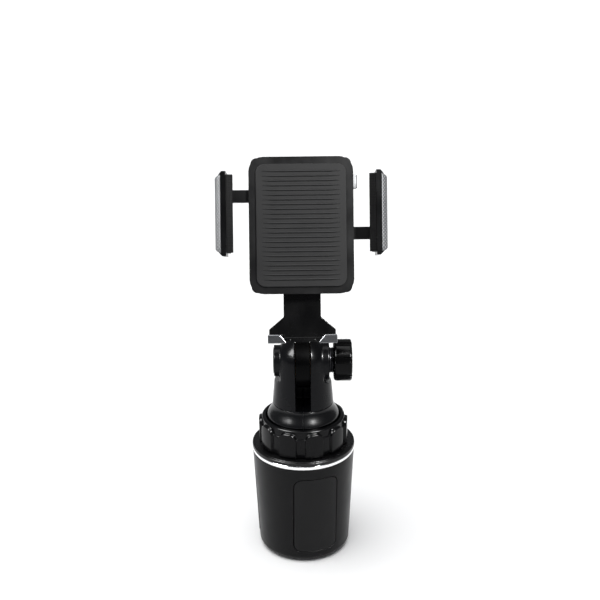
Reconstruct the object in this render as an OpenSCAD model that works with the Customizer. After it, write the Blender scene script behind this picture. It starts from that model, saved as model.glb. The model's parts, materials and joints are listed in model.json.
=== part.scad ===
// Cup-holder phone mount: an expanding cup base, a clamping neck, a tilting arm,
// and a cradle on a ball joint whose two grips are geared together.
// Millimetres and degrees. The origin is the middle of the foot, +Z is up and
// the cradle faces -Y. Turning the grip ring pushes three wings out of the base.

/* [Base] */
// Height of the cup base, up to its metal ring
base_h = 68.3; // [60:0.1:82]
// Outer radius of the cup base at its foot
base_foot_r = 29.3; // [28.5:0.1:31]
// Outer radius of the cup base at its rim
base_rim_r = 32.3; // [32:0.1:36]
// Wall thickness of the cup base
base_wall = 2.4; // [2:0.1:2.6]
// How far the base, its wings and its ring are turned to the right
base_turn = 14.5; // [0:0.5:60]
// Width of one wing
wing_w = 27.2; // [22:0.1:28]
// Outward travel of the wings
wing_travel = 8; // [5:0.1:9]
// Ring turn that moves the wings right out
ring_sweep = 150; // [120:1:170]

/* [Ring] */
// Radius over the lobes of the grip ring
ring_r = 28.1; // [27:0.1:30]
// Height of the grip ring
ring_h = 18; // [17:0.1:20]
// Number of lobes round the grip ring
ring_lobes = 10; // [8:1:14]

/* [Neck] */
// Height of the arm's pivot above the neck's foot
pivot_rise = 45.8; // [43:0.1:56]
// Radius of the neck under its cone
neck_core_r = 17.6; // [17.2:0.1:19]
// Radius of the swivel post
post_r = 9; // [7.5:0.1:9.6]
// Radius of the pivot bolt
bolt_r = 3; // [2.5:0.1:3.5]

/* [Arm] */
// Thickness of the arm
arm_t = 8.5; // [7:0.1:10.2]
// Height of the cradle's middle above the arm's pivot
head_rise = 103.5; // [92:0.5:125]
// How far the cradle's face stands in front of the neck
head_reach = 37.3; // [34:0.1:42]
// Backward lean of the cradle
head_tilt = 19; // [10:0.5:26]
// Radius of the ball
ball_r = 8.5; // [8:0.1:8.8]

/* [Cradle] */
// Width of the cradle's housing
case_w = 58; // [56:0.5:59]
// Height of the cradle's housing
case_h = 76; // [74:0.5:80]
// Width of the phone held as drawn
phone_w = 78.1; // [78:0.1:94]
// How far each grip moves in and out from there
grip_travel = 9; // [4:0.1:9]
// Height of the grips
grip_h = 46; // [38:0.5:56]
// Height from the cradle's middle down to the phone's lower edge
foot_drop = 68; // [66:0.5:82]
// Distance between the middles of the two feet
foot_pitch = 29.7; // [28:0.1:36]

/* [Fits] */
// Radial gap of a running fit
run_gap = 0.07; // [0.03:0.01:0.1]
// Gap beside a part that slides
slide_gap = 0.15; // [0.1:0.01:0.2]
// Gap round a screw in its own thread
thread_gap = 0.02; // [0.01:0.01:0.03]
// Gap round a wing in its window
wing_gap = 0.4; // [0.3:0.05:0.6]

/* [Hidden] */
$fn = 72;

pad_h = 1.6;
pad_r = 22;
shell_z0 = 0.6;
floor_z = 4;
win_z0 = floor_z + 4.3;
win_z1 = base_h - 7.1;
wing_h = win_z1 - win_z0 - 2 * wing_gap;
wing_mid = (win_z0 + win_z1) / 2;
rail_w = 10;
rail_t = 6;
rail_low = win_z0 + 7.7;
rail_high = win_z1 - 1.2 - rail_t;
rail_r0 = post_r + 2.6;
chan_r1 = base_foot_r - 4.7;
pin_r = 2;
pin_at = post_r + 7;
wing_skin = 1.6;
wing_back = 3.4;
cam_z0 = base_h - 5.3;
cam_z1 = base_h - 1.8;
cam_r = pin_at + wing_travel + pin_r + 2.2;
plate_z0 = base_h + 2.4;
plate_z1 = base_h + 4.7;
plate_skirt_r = base_rim_r - base_wall - 0.3;
hub_r = 19.5;
ring_z0 = plate_z1 + 0.6;
ring_z1 = ring_z0 + ring_h;
ring_in_r = ring_r - 3.6;
ring_mouth_r = ring_r - 4.7;
web_z0 = plate_z1 + 0.1;
web_z1 = web_z0 + 2.9;

neck_z0 = plate_z1 + 9;
post_top_r = post_r - 1;
cav_z0 = neck_z0 + 3;
washer_t = 0.8;
head_z0 = cav_z0 + washer_t + 0.1;
head_z1 = head_z0 + 4;
head_r = 13;
cav_z1 = head_z1 + 0.2;
cone_z0 = neck_z0 + 18.5;
slot_z0 = cone_z0 + 0.5;
pivot_z = neck_z0 + pivot_rise;
skirt_z0 = ring_z1 - 0.5;
slot_half = arm_t / 2 + 0.5;
cheek_left = 13.9;
cheek_right = 12.9;
boss_left = 17.7;
boss_left_r = 9.8;
boss_right = 16.4;
boss_right_r = 12.2;
dome_r = neck_core_r - 0.7;
knuckle_r = 16.9;
// The slot's rear wall: its gap to the knuckle, where it starts and how far below the pivot it ends
web_r = knuckle_r + 0.4;
web_y0 = 2;
web_drop = 6.5;
// Tongue on the left half that closes the joint in that wall
lap_w = 1.5;
lap_y0 = 7;
lap_t = 2;
lap_z0 = slot_z0 - 3;
lap_z1 = pivot_z - sqrt(web_r * web_r - lap_y0 * lap_y0) - 0.6;
knob_x0 = boss_right + 2.5;
knob_x1 = knob_x0 + 11.6;
knob_r = 13;
nut_flat = bolt_r * 1.67;
join_y = 11.5;
join_z = neck_z0 + 14;

head_z = pivot_z + head_rise;
ball_y = 26.6;
ball_z = -6;
boss_y0 = 38;
boss_y1 = 48;
boss_r = 9;
stem_r = 4.5;
tip_y = -head_reach + 43 * cos(head_tilt) + ball_z * sin(head_tilt);
tip_z = head_z - 43 * sin(head_tilt) + ball_z * cos(head_tilt);
liner_in = ball_r + 0.08;
liner_out = ball_r + 0.85;
seat_r = ball_r + 0.95;
socket_r = 13;
lock_r = 17.5;

case_top = 32;
case_low = case_top - case_h;
case_mid = (case_top + case_low) / 2;
cover_y0 = 1.5;
split_y = 8;
cover_y1 = 16;
room_y0 = 3.5;
room_y1 = 13;
case_wall = 2.2;
screw_x = case_w / 2 - 4.5;
screw_top = case_top - 4;
screw_low = case_low + 4;
rack_y0 = 4;
rack_y1 = 8;
teeth = 12;
pitch_r = 6;
tooth_t = PI / 2 - 0.12;
rack_add = 0.7;
gear_add = 0.9;
rack_root = pitch_r + 1.05;
bar_top = 14;
drum_r = 5;
pad_x = phone_w / 2;
grip_x0 = pad_x + 1.75;
grip_x1 = grip_x0 + 4.1;
tail_x0 = pad_x - 0.45;
tail_y0 = 6;
tail_y1 = 9.5;
tail_half = 13.9;
shoe_half = 3.5;
shoe_y0 = 8.4;
shoe_y1 = 12.4;
ramp = 19.5;
button_mid = 18.6;
tongue_half = 10.5;
tongue_y0 = 10.4;
tongue_y1 = 12.9;
tongue_top = case_low + 20;
foot_w = 7.9;
foot_out = foot_pitch / 2 + foot_w / 2;
foot_in = foot_pitch / 2 - foot_w / 2;
shelf_top = -foot_drop - 0.8;
shelf_low = -foot_drop - 2.5;

// Shapes used by several pieces.

// Corner points of a rounded rectangle w by h about the origin, corner radius r.
function rounded(w, h, r) = [
    for (c = [[1, 1, 0], [-1, 1, 90], [-1, -1, 180], [1, -1, 270]])
        for (a = [0:15:90])
            [c[0] * (w / 2 - r) + r * cos(c[2] + a), c[1] * (h / 2 - r) + r * sin(c[2] + a)]
];

// Outer radius of the cup base at height z.
function wall_r(z) = base_foot_r + (base_rim_r - base_foot_r) * (z - shell_z0) / (base_h - shell_z0);

// Points of a circular arc.
function arc(cx, cy, r, a0, a1, n) = [
    for (i = [0:n])
        [cx + r * cos(a0 + (a1 - a0) * i / n), cy + r * sin(a0 + (a1 - a0) * i / n)]
];

// A plate with its outline in X and Z, from y0 to y1.
module xz_plate(y0, y1) {
    translate([0, y1, 0])
        rotate([90, 0, 0])
            linear_extrude(y1 - y0)
                children();
}

// A plate with its outline in Y and Z, from x0 to x1.
module yz_plate(x0, x1) {
    translate([x0, 0, 0])
        rotate([90, 0, 90])
            linear_extrude(x1 - x0)
                children();
}

// A round bar along X.
module x_rod(x0, x1, r) {
    translate([x0, 0, 0])
        rotate([0, 90, 0])
            cylinder(h = x1 - x0, r = r);
}

// A round bar along Y.
module y_rod(y0, y1, r) {
    translate([0, y0, 0])
        rotate([-90, 0, 0])
            cylinder(h = y1 - y0, r = r);
}

// A ring about Z.
module tube(z0, z1, r_in, r_out) {
    translate([0, 0, z0])
        difference() {
            cylinder(h = z1 - z0, r = r_out);
            translate([0, 0, -1])
                cylinder(h = z1 - z0 + 2, r = r_in);
        }
}

// Turns a child so that its +X points out through wing number k.
module at_wing(k) {
    rotate([0, 0, base_turn - 90 + 120 * k])
        children();
}

// The cradle's own frame: its face is at y = 0 and it looks along -Y.
module at_head() {
    translate([0, -head_reach, head_z])
        rotate([-head_tilt, 0, 0])
            children();
}

// The cradle's ball centre, with +Z pointing backward along the ball's stem.
module at_ball() {
    at_head()
        translate([0, ball_y, ball_z])
            rotate([-90, 0, 0])
                children();
}

// Cup base.

module base_shell() {
    color([0.05, 0.05, 0.055])
        difference() {
            rotate_extrude()
                polygon(concat(
                    [[0, shell_z0]],
                    arc(base_foot_r - 5, shell_z0 + 5, 5, -90, -8, 8),
                    [[base_rim_r, base_h],
                     [base_rim_r - base_wall, base_h],
                     [wall_r(floor_z + 3) - base_wall, floor_z + 3],
                     [wall_r(floor_z) - base_wall - 3, floor_z],
                     [0, floor_z]]));
            translate([0, 0, -1])
                cylinder(h = pad_h + 1, r = pad_r + 0.2);
            for (k = [0:2])
                at_wing(k) {
                    yz_plate(18, 45)
                        translate([0, wing_mid])
                            polygon(rounded(wing_w + 2 * wing_gap, win_z1 - win_z0, 5));
                    rotate([0, 0, 60])
                        translate([12, 0, 0])
                            cylinder(h = 9, r = 1.4);
                    rotate([0, 0, 60])
                        translate([12, 0, 0])
                            cylinder(h = 2.9, r = 2.6);
                }
        }
}

module foot_pad() {
    color([0.09, 0.09, 0.09])
        difference() {
            cylinder(h = pad_h, r = pad_r);
            for (r = [8, 14])
                translate([0, 0, -0.5])
                    difference() {
                        cylinder(h = 0.9, r = r + 1);
                        translate([0, 0, -0.5])
                            cylinder(h = 2, r = r);
                    }
        }
}

module chrome_ring() {
    color([0.8, 0.8, 0.82])
        rotate_extrude()
            polygon([
                [base_rim_r - base_wall, base_h],
                [base_rim_r - 0.3, base_h],
                [base_rim_r + 0.1, base_h + 0.5],
                [base_rim_r + 0.1, base_h + 1.9],
                [base_rim_r - 0.3, plate_z0],
                [base_rim_r - base_wall, plate_z0]]);
}

module top_plate() {
    color([0.06, 0.06, 0.065])
        union() {
            rotate_extrude()
                polygon([
                    [hub_r + 0.3, plate_z0],
                    [plate_skirt_r - 2, plate_z0],
                    [plate_skirt_r - 1.8, cam_z1 + 0.3],
                    [plate_skirt_r, cam_z1 + 0.3],
                    [plate_skirt_r, plate_z0],
                    [base_rim_r + 0.2, plate_z0],
                    [base_rim_r + 0.2, plate_z1 - 0.4],
                    [base_rim_r - 0.2, plate_z1],
                    [base_rim_r - 0.9, plate_z1],
                    [base_rim_r - 1, plate_z1 - 0.15],
                    [base_rim_r - 1.2, plate_z1 - 0.15],
                    [base_rim_r - 1.3, plate_z1],
                    [hub_r + 0.3, plate_z1]]);
            for (s = [-1, 1])
                rotate([0, 0, base_turn - 50 + s * 8])
                    translate([(ring_r + base_rim_r) / 2 - 0.2, 0, plate_z1 - 0.3])
                        linear_extrude(0.5)
                            polygon([[-0.9, -s * 1.1], [0, s * 1.4], [0.9, -s * 1.1], [0, -s * 0.5]]);
        }
}

module guide_frame() {
    color([0.16, 0.16, 0.17])
        difference() {
            union() {
                tube(floor_z + 3.5, rail_high + rail_t, post_r + run_gap, post_r + 2);
                for (k = [0:2])
                    at_wing(k) {
                        translate([post_r + 1.5, -7, rail_low - 2])
                            cube([chan_r1 - post_r - 1.5, 14, rail_t + 4]);
                        translate([post_r + 1.5, -7, rail_high - 2])
                            cube([chan_r1 - post_r - 1.5, 14, rail_t + 2.6]);
                    }
            }
            for (k = [0:2])
                at_wing(k) {
                    translate([post_r + 2.1, -rail_w / 2 - slide_gap, rail_low - slide_gap])
                        cube([30, rail_w + 2 * slide_gap, rail_t + 2 * slide_gap]);
                    translate([post_r + 2.1, -rail_w / 2 - slide_gap, rail_high - slide_gap])
                        cube([30, rail_w + 2 * slide_gap, rail_t + 5]);
                }
        }
}

module swivel_post() {
    color([0.2, 0.2, 0.21])
        difference() {
            rotate_extrude()
                polygon([
                    [0, floor_z],
                    [16, floor_z],
                    [16, floor_z + 3.5],
                    [post_r, floor_z + 3.5],
                    [post_r, neck_z0 - 0.1],
                    [post_top_r, neck_z0 - 0.1],
                    [post_top_r, head_z0],
                    [post_top_r - 2, head_z0],
                    [post_top_r - 2, head_z0 - 16],
                    [0, head_z0 - 16]]);
            for (k = [0:2])
                rotate([0, 0, base_turn - 30 + 120 * k])
                    translate([12, 0, -1])
                        cylinder(h = floor_z + 4, r = 1.27);
        }
}

module post_screws() {
    color([0.6, 0.6, 0.62])
        for (k = [0:2])
            rotate([0, 0, base_turn - 30 + 120 * k])
                translate([12, 0, 0])
                    rotate_extrude()
                        polygon([[0, pad_h + 0.1], [2.3, pad_h + 0.1], [2.3, 2.8],
                            [1.27 - thread_gap, 2.8], [1.27 - thread_gap, 6.4], [0.6, 6.8], [0, 6.8]]);
}

module post_head() {
    color([0.55, 0.55, 0.57])
        difference() {
            rotate_extrude()
                polygon([
                    [0, head_z0 - 12],
                    [post_top_r - 2 - thread_gap, head_z0 - 12],
                    [post_top_r - 2 - thread_gap, head_z0],
                    [head_r, head_z0],
                    [head_r, head_z1 - 0.6],
                    [head_r - 0.6, head_z1],
                    [0, head_z1]]);
            translate([0, 0, head_z1 - 2.5])
                cylinder(h = 4, r = 3.4, $fn = 6);
        }
}

// Wings.

module wing_band(from_skin, to_skin) {
    intersection() {
        rotate_extrude()
            polygon([
                [wall_r(win_z0 - 2) - to_skin, win_z0 - 2],
                [wall_r(win_z0 - 2) - from_skin, win_z0 - 2],
                [wall_r(win_z1 + 2) - from_skin, win_z1 + 2],
                [wall_r(win_z1 + 2) - to_skin, win_z1 + 2]]);
        yz_plate(15, 45)
            translate([0, wing_mid])
                polygon(rounded(wing_w, wing_h, 4.7));
    }
}

module wing(k) {
    color([0.1, 0.1, 0.105])
        at_wing(k)
            union() {
                wing_band(wing_skin, wing_back);
                translate([rail_r0, -rail_w / 2, rail_low])
                    cube([wall_r(rail_low) - 2.6 - rail_r0, rail_w, rail_t]);
                translate([rail_r0, -rail_w / 2, rail_high])
                    cube([wall_r(rail_high) - 2.6 - rail_r0, rail_w, rail_t]);
                translate([pin_at, 0, rail_high + rail_t - 1])
                    cylinder(h = cam_z1 - 0.3 - rail_high - rail_t + 1, r = pin_r);
            }
}

module wing_1() {
    wing(0);
}

module wing_2() {
    wing(1);
}

module wing_3() {
    wing(2);
}

module wing_pad(k) {
    color([0.05, 0.05, 0.055])
        at_wing(k)
            wing_band(0, wing_skin);
}

module wing_pad_1() {
    wing_pad(0);
}

module wing_pad_2() {
    wing_pad(1);
}

module wing_pad_3() {
    wing_pad(2);
}

// Grip ring and the scroll that drives the wings.

// One lobe of the ring's outline: share of the lobe's width, share of its height.
LOBE = [[-0.5, 0], [-0.41, 0], [-0.35, 0.75], [-0.25, 0.95], [-0.12, 1], [0, 1], [0.12, 1],
    [0.25, 0.95], [0.35, 0.75], [0.41, 0]];

function lobed(n, r_low, r_high) = [
    for (k = [0:n - 1])
        for (p = LOBE)
            let (r = r_low + (r_high - r_low) * p[1], a = 360 / n * (k + p[0]))
                [r * cos(a), r * sin(a)]
];

module grip_ring() {
    color([0.07, 0.07, 0.075])
        difference() {
            intersection() {
                translate([0, 0, cam_z1])
                    rotate([0, 0, base_turn])
                        linear_extrude(ring_z1 - cam_z1)
                            polygon(lobed(ring_lobes, ring_r - 1.5, ring_r));
                rotate_extrude()
                    polygon([
                        [0, cam_z1],
                        [hub_r, cam_z1],
                        [hub_r, web_z0],
                        [ring_r - 4, web_z0],
                        [ring_r - 4, ring_z0],
                        [ring_r - 0.5, ring_z0],
                        [ring_r + 0.2, ring_z0 + 0.7],
                        [ring_r + 0.2, ring_z1 - 2.6],
                        [ring_r - 0.6, ring_z1 - 1.1],
                        [ring_r - 2.3, ring_z1],
                        [0, ring_z1]]);
            }
            rotate_extrude()
                polygon([
                    [0, web_z1],
                    [ring_in_r, web_z1],
                    [ring_in_r, ring_z1 - 2],
                    [ring_mouth_r, ring_z1 - 2],
                    [ring_mouth_r, ring_z1 + 1],
                    [0, ring_z1 + 1]]);
            translate([0, 0, cam_z1 - 1])
                cylinder(h = 20, r = post_r + run_gap);
            for (k = [0:2])
                rotate([0, 0, base_turn - 30 + 120 * k])
                    translate([post_r + 4.6, 0, cam_z1 - 1])
                        cylinder(h = 6.5, r = 1.27);
        }
}

// Centre of the scroll slot where the ring has turned by t.
function scroll_r(t) = pin_at + wing_travel * t / ring_sweep;

// Outline of one scroll slot, as wide as the pin and its gaps.
function scroll(h) = let (n = 36, e = 9, sw = ring_sweep)
    concat(
        [for (i = [0:n]) let (t = -e + (sw + 2 * e) * i / n) (scroll_r(t) - h) * [cos(-t), sin(-t)]],
        [for (i = [n:-1:0]) let (t = -e + (sw + 2 * e) * i / n) (scroll_r(t) + h) * [cos(-t), sin(-t)]]);

module scroll_cam() {
    color([0.45, 0.45, 0.47])
        difference() {
            translate([0, 0, cam_z0])
                cylinder(h = cam_z1 - cam_z0, r = cam_r);
            translate([0, 0, cam_z0 - 1])
                cylinder(h = 8, r = post_r + 0.5);
            for (k = [0:2])
                at_wing(k) {
                    translate([0, 0, cam_z0 - 1])
                        linear_extrude(8)
                            polygon(scroll(pin_r + 0.25));
                    rotate([0, 0, 60])
                        translate([post_r + 4.6, 0, cam_z0 - 1])
                            cylinder(h = 8, r = 1.4);
                    rotate([0, 0, 60])
                        translate([post_r + 4.6, 0, cam_z0 - 1])
                            cylinder(h = 2.6, r = 2.4);
                }
        }
}

module cam_screws() {
    color([0.6, 0.6, 0.62])
        for (k = [0:2])
            rotate([0, 0, base_turn - 30 + 120 * k])
                translate([post_r + 4.6, 0, cam_z0])
                    rotate_extrude()
                        polygon([[0, 0.2], [2.2, 0.2], [2.2, 1.5], [1.27 - thread_gap, 1.5],
                            [1.27 - thread_gap, 8], [0.7, 8.5], [0, 8.5]]);
}

// Neck.

// Half of the neck on the side s, whose cheek ends at x = cheek.
// The neck's turned outside, before the slot and the cheeks are cut.
module neck_turned() {
    rotate_extrude()
        polygon(concat(
            [[0, neck_z0],
             [neck_core_r - 0.8, neck_z0],
             [neck_core_r, neck_z0 + 0.8],
             [neck_core_r, cone_z0],
             [neck_core_r + 1.5, cone_z0],
             [neck_core_r, cone_z0 + 17]],
            arc(0, pivot_z, dome_r, 0, 90, 12)));
}

// Half of the wall that closes the slot behind the arm, below the pivot.
module slot_web(s) {
    intersection() {
        neck_turned();
        yz_plate(min(s * 0.05, s * (slot_half + 1)), max(s * 0.05, s * (slot_half + 1)))
            polygon(concat(
                [[web_y0, slot_z0 - 1], [25, slot_z0 - 1], [25, pivot_z - web_drop]],
                arc(0, pivot_z, web_r, -asin(web_drop / web_r), -acos(web_y0 / web_r), 12)));
    }
}

module neck_half(s, cheek, boss_x, boss) {
    difference() {
        union() {
            intersection() {
                neck_turned();
                xz_plate(-30, 30)
                    polygon([
                        [s * 0.05, neck_z0 - 1],
                        [s * 25, neck_z0 - 1],
                        [s * 25, pivot_z - 9.3 - (25 - cheek)],
                        [s * cheek, pivot_z - 9.3],
                        [s * cheek, pivot_z + 25],
                        [s * slot_half, pivot_z + 25],
                        [s * slot_half, slot_z0],
                        [s * 0.05, slot_z0]]);
            }
            slot_web(s);
            translate([0, 0, pivot_z])
                x_rod(min(s * boss_x, s * 9), max(s * boss_x, s * 9), boss);
        }
        translate([0, 0, neck_z0 - 1])
            cylinder(h = 5, r = post_top_r + run_gap);
        translate([0, 0, cav_z0])
            cylinder(h = cav_z1 - cav_z0, r = head_r + 0.3);
        translate([0, 0, pivot_z])
            x_rod(-30, 30, bolt_r + 0.05);
        for (j = [-1, 1])
            translate([0, j * join_y, join_z]) {
                x_rod(-9, 20, 1.27);
                x_rod(8.9, 20, 2.5);
            }
    }
}

// The joint's tongue, larger all round by gap where it is a groove.
module neck_lap(gap) {
    translate([-1, lap_y0 - gap, lap_z0 - gap])
        cube([1 + lap_w + gap, lap_t + 2 * gap, lap_z1 - lap_z0 + 2 * gap]);
}

module neck_left() {
    color([0.13, 0.13, 0.14])
        difference() {
            union() {
                neck_half(-1, cheek_left, boss_left, boss_left_r);
                neck_lap(0);
            }
            translate([0, 0, pivot_z]) {
                x_rod(-boss_left - 1, -boss_left + 1, 8.5);
                x_rod_hex(-boss_left - 1, -boss_left + 5.2, nut_flat + 0.05);
            }
        }
}

// A six-sided bar along X, f from its axis to each flat.
module x_rod_hex(x0, x1, f) {
    translate([x0, 0, 0])
        rotate([0, 90, 0])
            cylinder(h = x1 - x0, r = f / cos(30), $fn = 6);
}

module neck_right() {
    color([0.13, 0.13, 0.14])
        difference() {
            neck_half(1, cheek_right, boss_right, boss_right_r);
            neck_lap(run_gap);
        }
}

module skirt(a0) {
    r = neck_core_r;
    color([0.03, 0.03, 0.035])
        rotate([0, 0, a0 + 0.2])
            rotate_extrude(angle = 179.6)
                polygon([
                    [r + 3.6, skirt_z0],
                    [r + 5.2, skirt_z0],
                    [r + 5, skirt_z0 + 0.9],
                    [r + 3.5, skirt_z0 + 3],
                    [r + 2.4, skirt_z0 + 5.4],
                    [r + 1.8, skirt_z0 + 7.5],
                    [r + 1.5, cone_z0 - 0.1],
                    [r + 0.05, cone_z0 - 0.1],
                    [r + 0.05, skirt_z0 + 4.4],
                    [r + 1.6, skirt_z0 + 2]]);
}

module skirt_left() {
    skirt(90);
}

module skirt_right() {
    skirt(-90);
}

module neck_screws() {
    color([0.6, 0.6, 0.62])
        for (j = [-1, 1])
            translate([0, j * join_y, join_z])
                rotate([0, 90, 0])
                    rotate_extrude()
                        polygon([[0, -7.6], [1, -7.6], [1.27 - thread_gap, -7.2],
                            [1.27 - thread_gap, 8.9], [2.2, 8.9], [2.2, 10.4], [0, 10.4]]);
}

module swivel_washer() {
    color([0.7, 0.7, 0.66])
        tube(cav_z0 + 0.05, cav_z0 + 0.05 + washer_t, post_top_r + 0.15, head_r - 0.8);
}

module pivot_bolt() {
    color([0.62, 0.62, 0.64])
        translate([0, 0, pivot_z])
            union() {
                x_rod_hex(-boss_left + 1.2, -boss_left + 5.1, nut_flat);
                x_rod(-boss_left + 3, knob_x1 - 3.4, bolt_r);
            }
}

module bolt_cap() {
    color([0.09, 0.09, 0.1])
        translate([0, 0, pivot_z])
            rotate([0, -90, 0])
                rotate_extrude()
                    polygon([[0, boss_left - 0.95], [8.45, boss_left - 0.95],
                        [8.45, boss_left], [7.6, boss_left + 0.5], [0, boss_left + 0.5]]);
}

module knob_washer() {
    color([0.68, 0.68, 0.7])
        translate([0, 0, pivot_z])
            difference() {
                x_rod(boss_right + 0.02, knob_x0 - 0.08, 7.9);
                x_rod(boss_right - 1, knob_x0 + 1, bolt_r + 0.05);
            }
}

module friction_washers() {
    color([0.5, 0.48, 0.42])
        translate([0, 0, pivot_z])
            for (s = [-1, 1])
                difference() {
                    x_rod(s * (arm_t / 2 + 0.25) - 0.2, s * (arm_t / 2 + 0.25) + 0.2, 11);
                    x_rod(s * (arm_t / 2 + 0.25) - 1, s * (arm_t / 2 + 0.25) + 1, bolt_r + 0.05);
                }
}

// Clamping knob.

module knob() {
    color([0.06, 0.06, 0.065])
        translate([0, 0, pivot_z])
            difference() {
                intersection() {
                    yz_plate(knob_x0, knob_x1)
                        polygon([for (a = [0:5:355])
                            (knob_r - 0.7 + 0.7 * cos(7 * a)) * [cos(a), sin(a)]]);
                    rotate([0, 90, 0])
                        rotate_extrude()
                            polygon([
                                [0, knob_x0],
                                [knob_r - 2.4, knob_x0],
                                [knob_r + 0.2, knob_x0 + 2.6],
                                [knob_r + 0.2, knob_x1 - 1.8],
                                [knob_r - 1.6, knob_x1],
                                [0, knob_x1]]);
                }
                x_rod(knob_x0 - 1, knob_x1 - 3, bolt_r + 0.3);
                x_rod_hex(knob_x0 - 1, knob_x0 + 5.5, nut_flat + 0.05);
            }
}

module knob_nut() {
    color([0.68, 0.66, 0.55])
        translate([0, 0, pivot_z])
            difference() {
                x_rod_hex(knob_x0 + 0.1, knob_x0 + 5.4, nut_flat);
                x_rod(knob_x0 - 1, knob_x0 + 7, bolt_r + 0.03);
            }
}

// Arm and ball.

module arm() {
    color([0.07, 0.07, 0.075])
        difference() {
            union() {
                translate([0, 0, pivot_z])
                    x_rod(-arm_t / 2, arm_t / 2, knuckle_r);
                yz_plate(-arm_t / 2, arm_t / 2)
                    polygon([
                        [-9, pivot_z],
                        [9, pivot_z],
                        [tip_y + 7, tip_z],
                        [tip_y - 7, tip_z]]);
                translate([0, tip_y, tip_z])
                    x_rod(-arm_t / 2, arm_t / 2, 7.6);
                at_head()
                    translate([0, 0, ball_z])
                        y_rod(boss_y0, boss_y1, boss_r);
            }
            translate([0, 0, pivot_z])
                x_rod(-10, 10, bolt_r + run_gap);
            at_head()
                translate([0, 0, ball_z])
                    y_rod(boss_y0 - 6, boss_y1 - 2, stem_r + thread_gap);
        }
}

module ball_stud() {
    color([0.72, 0.72, 0.74])
        at_head()
            translate([0, 0, ball_z])
                union() {
                    translate([0, ball_y, 0])
                        sphere(r = ball_r);
                    y_rod(ball_y, boss_y1 - 2.3, stem_r);
                }
}

// Part of a ball liner between two angles from the stem's axis.
module liner(a0, a1) {
    at_ball()
        rotate_extrude()
            polygon(concat(
                [for (i = [0:8]) let (a = a0 + (a1 - a0) * i / 8) liner_out * [sin(a), cos(a)]],
                [for (i = [8:-1:0]) let (a = a0 + (a1 - a0) * i / 8) liner_in * [sin(a), cos(a)]]));
}

module liner_front() {
    color([0.85, 0.85, 0.82])
        liner(97, 165);
}

module liner_rear() {
    color([0.85, 0.85, 0.82])
        liner(60, 83);
}

module socket() {
    color([0.09, 0.09, 0.095])
        difference() {
            at_ball()
                rotate_extrude()
                    polygon(concat(
                        [[0, cover_y1 - ball_y],
                         [17, cover_y1 - ball_y],
                         [17, cover_y1 + 2.2 - ball_y],
                         [socket_r, cover_y1 + 2.2 - ball_y],
                         [socket_r, 3.4],
                         [seat_r, 3.4]],
                        [for (a = [90:7.5:172]) seat_r * [sin(a), cos(a)]],
                        [[0, -seat_r]]));
            at_head()
                socket_screw_places()
                    y_rod(cover_y1 - 1, cover_y1 + 1.9, 0.97);
        }
}

// Where the three screws hold the socket to the back cover.
module socket_screw_places() {
    for (p = [[0, 15], [-13, -7.5], [13, -7.5]])
        translate([p[0], 0, ball_z + p[1]])
            children();
}

module socket_screws() {
    color([0.6, 0.6, 0.62])
        at_head()
            socket_screw_places()
                rotate([-90, 0, 0])
                    rotate_extrude()
                        polygon([[0, room_y1 + 0.1], [1.8, room_y1 + 0.1], [1.8, room_y1 + 1.2],
                            [0.95, room_y1 + 1.2], [0.95, cover_y1 + 1.8], [0, cover_y1 + 1.8]]);
}

module lock_nut() {
    color([0.06, 0.06, 0.065])
        at_ball()
            intersection() {
                translate([0, 0, -8.1])
                    linear_extrude(14)
                        polygon(lobed(12, lock_r - 1.1, lock_r));
                rotate_extrude()
                    polygon([
                        [socket_r + run_gap, -8.1],
                        [lock_r - 0.8, -8.1],
                        [lock_r + 0.2, -7.1],
                        [lock_r + 0.2, 3.4],
                        [lock_r - 1.6, 5.9],
                        [seat_r * cos(38.6), seat_r * sin(38.6)],
                        [seat_r * cos(30.5), seat_r * sin(30.5)],
                        [seat_r * cos(22.4), seat_r * sin(22.4)],
                        [socket_r + run_gap, seat_r * sin(22.4)]]);
            }
}

// Cradle housing.

module case_outline(in) {
    translate([0, case_mid])
        polygon(rounded(case_w - 2 * in, case_h - 2 * in, 8 - in));
}

module case_screw_places() {
    for (x = [-screw_x, screw_x])
        for (z = [screw_low, screw_top])
            translate([x, 0, z])
                children();
}

// Openings that the sliders and the release button leave the housing by.
module case_openings() {
    translate([-case_w / 2 - 5, rack_y0 - slide_gap, rack_root - slide_gap])
        cube([15, rack_y1 - rack_y0 + 2 * slide_gap, bar_top - rack_root + 2 * slide_gap]);
    translate([case_w / 2 - 10, rack_y0 - slide_gap, -bar_top - slide_gap])
        cube([15, rack_y1 - rack_y0 + 2 * slide_gap, bar_top - rack_root + 2 * slide_gap]);
    translate([case_w / 2 - 4, 8.6 - slide_gap, button_mid - 4 - slide_gap])
        cube([9, 3.6 + 2 * slide_gap, 8 + 2 * slide_gap]);
}

module front_cover() {
    color([0.07, 0.07, 0.075])
        at_head()
            difference() {
                union() {
                    difference() {
                        xz_plate(cover_y0, split_y)
                            case_outline(0);
                        xz_plate(room_y0, split_y + 1)
                            case_outline(case_wall);
                    }
                    case_screw_places()
                        y_rod(room_y0 - 1, split_y, 3.4);
                    y_rod(room_y0 - 1, room_y1 - 0.4, 1.5);
                    for (s = [-1, 1])
                        translate([-20, room_y0 - 1, s * (bar_top + 1) - 0.8])
                            cube([40, 5, 1.6]);
                }
                case_screw_places()
                    y_rod(room_y0 + 0.8, split_y + 1, 1.27);
                case_openings();
            }
}

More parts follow.
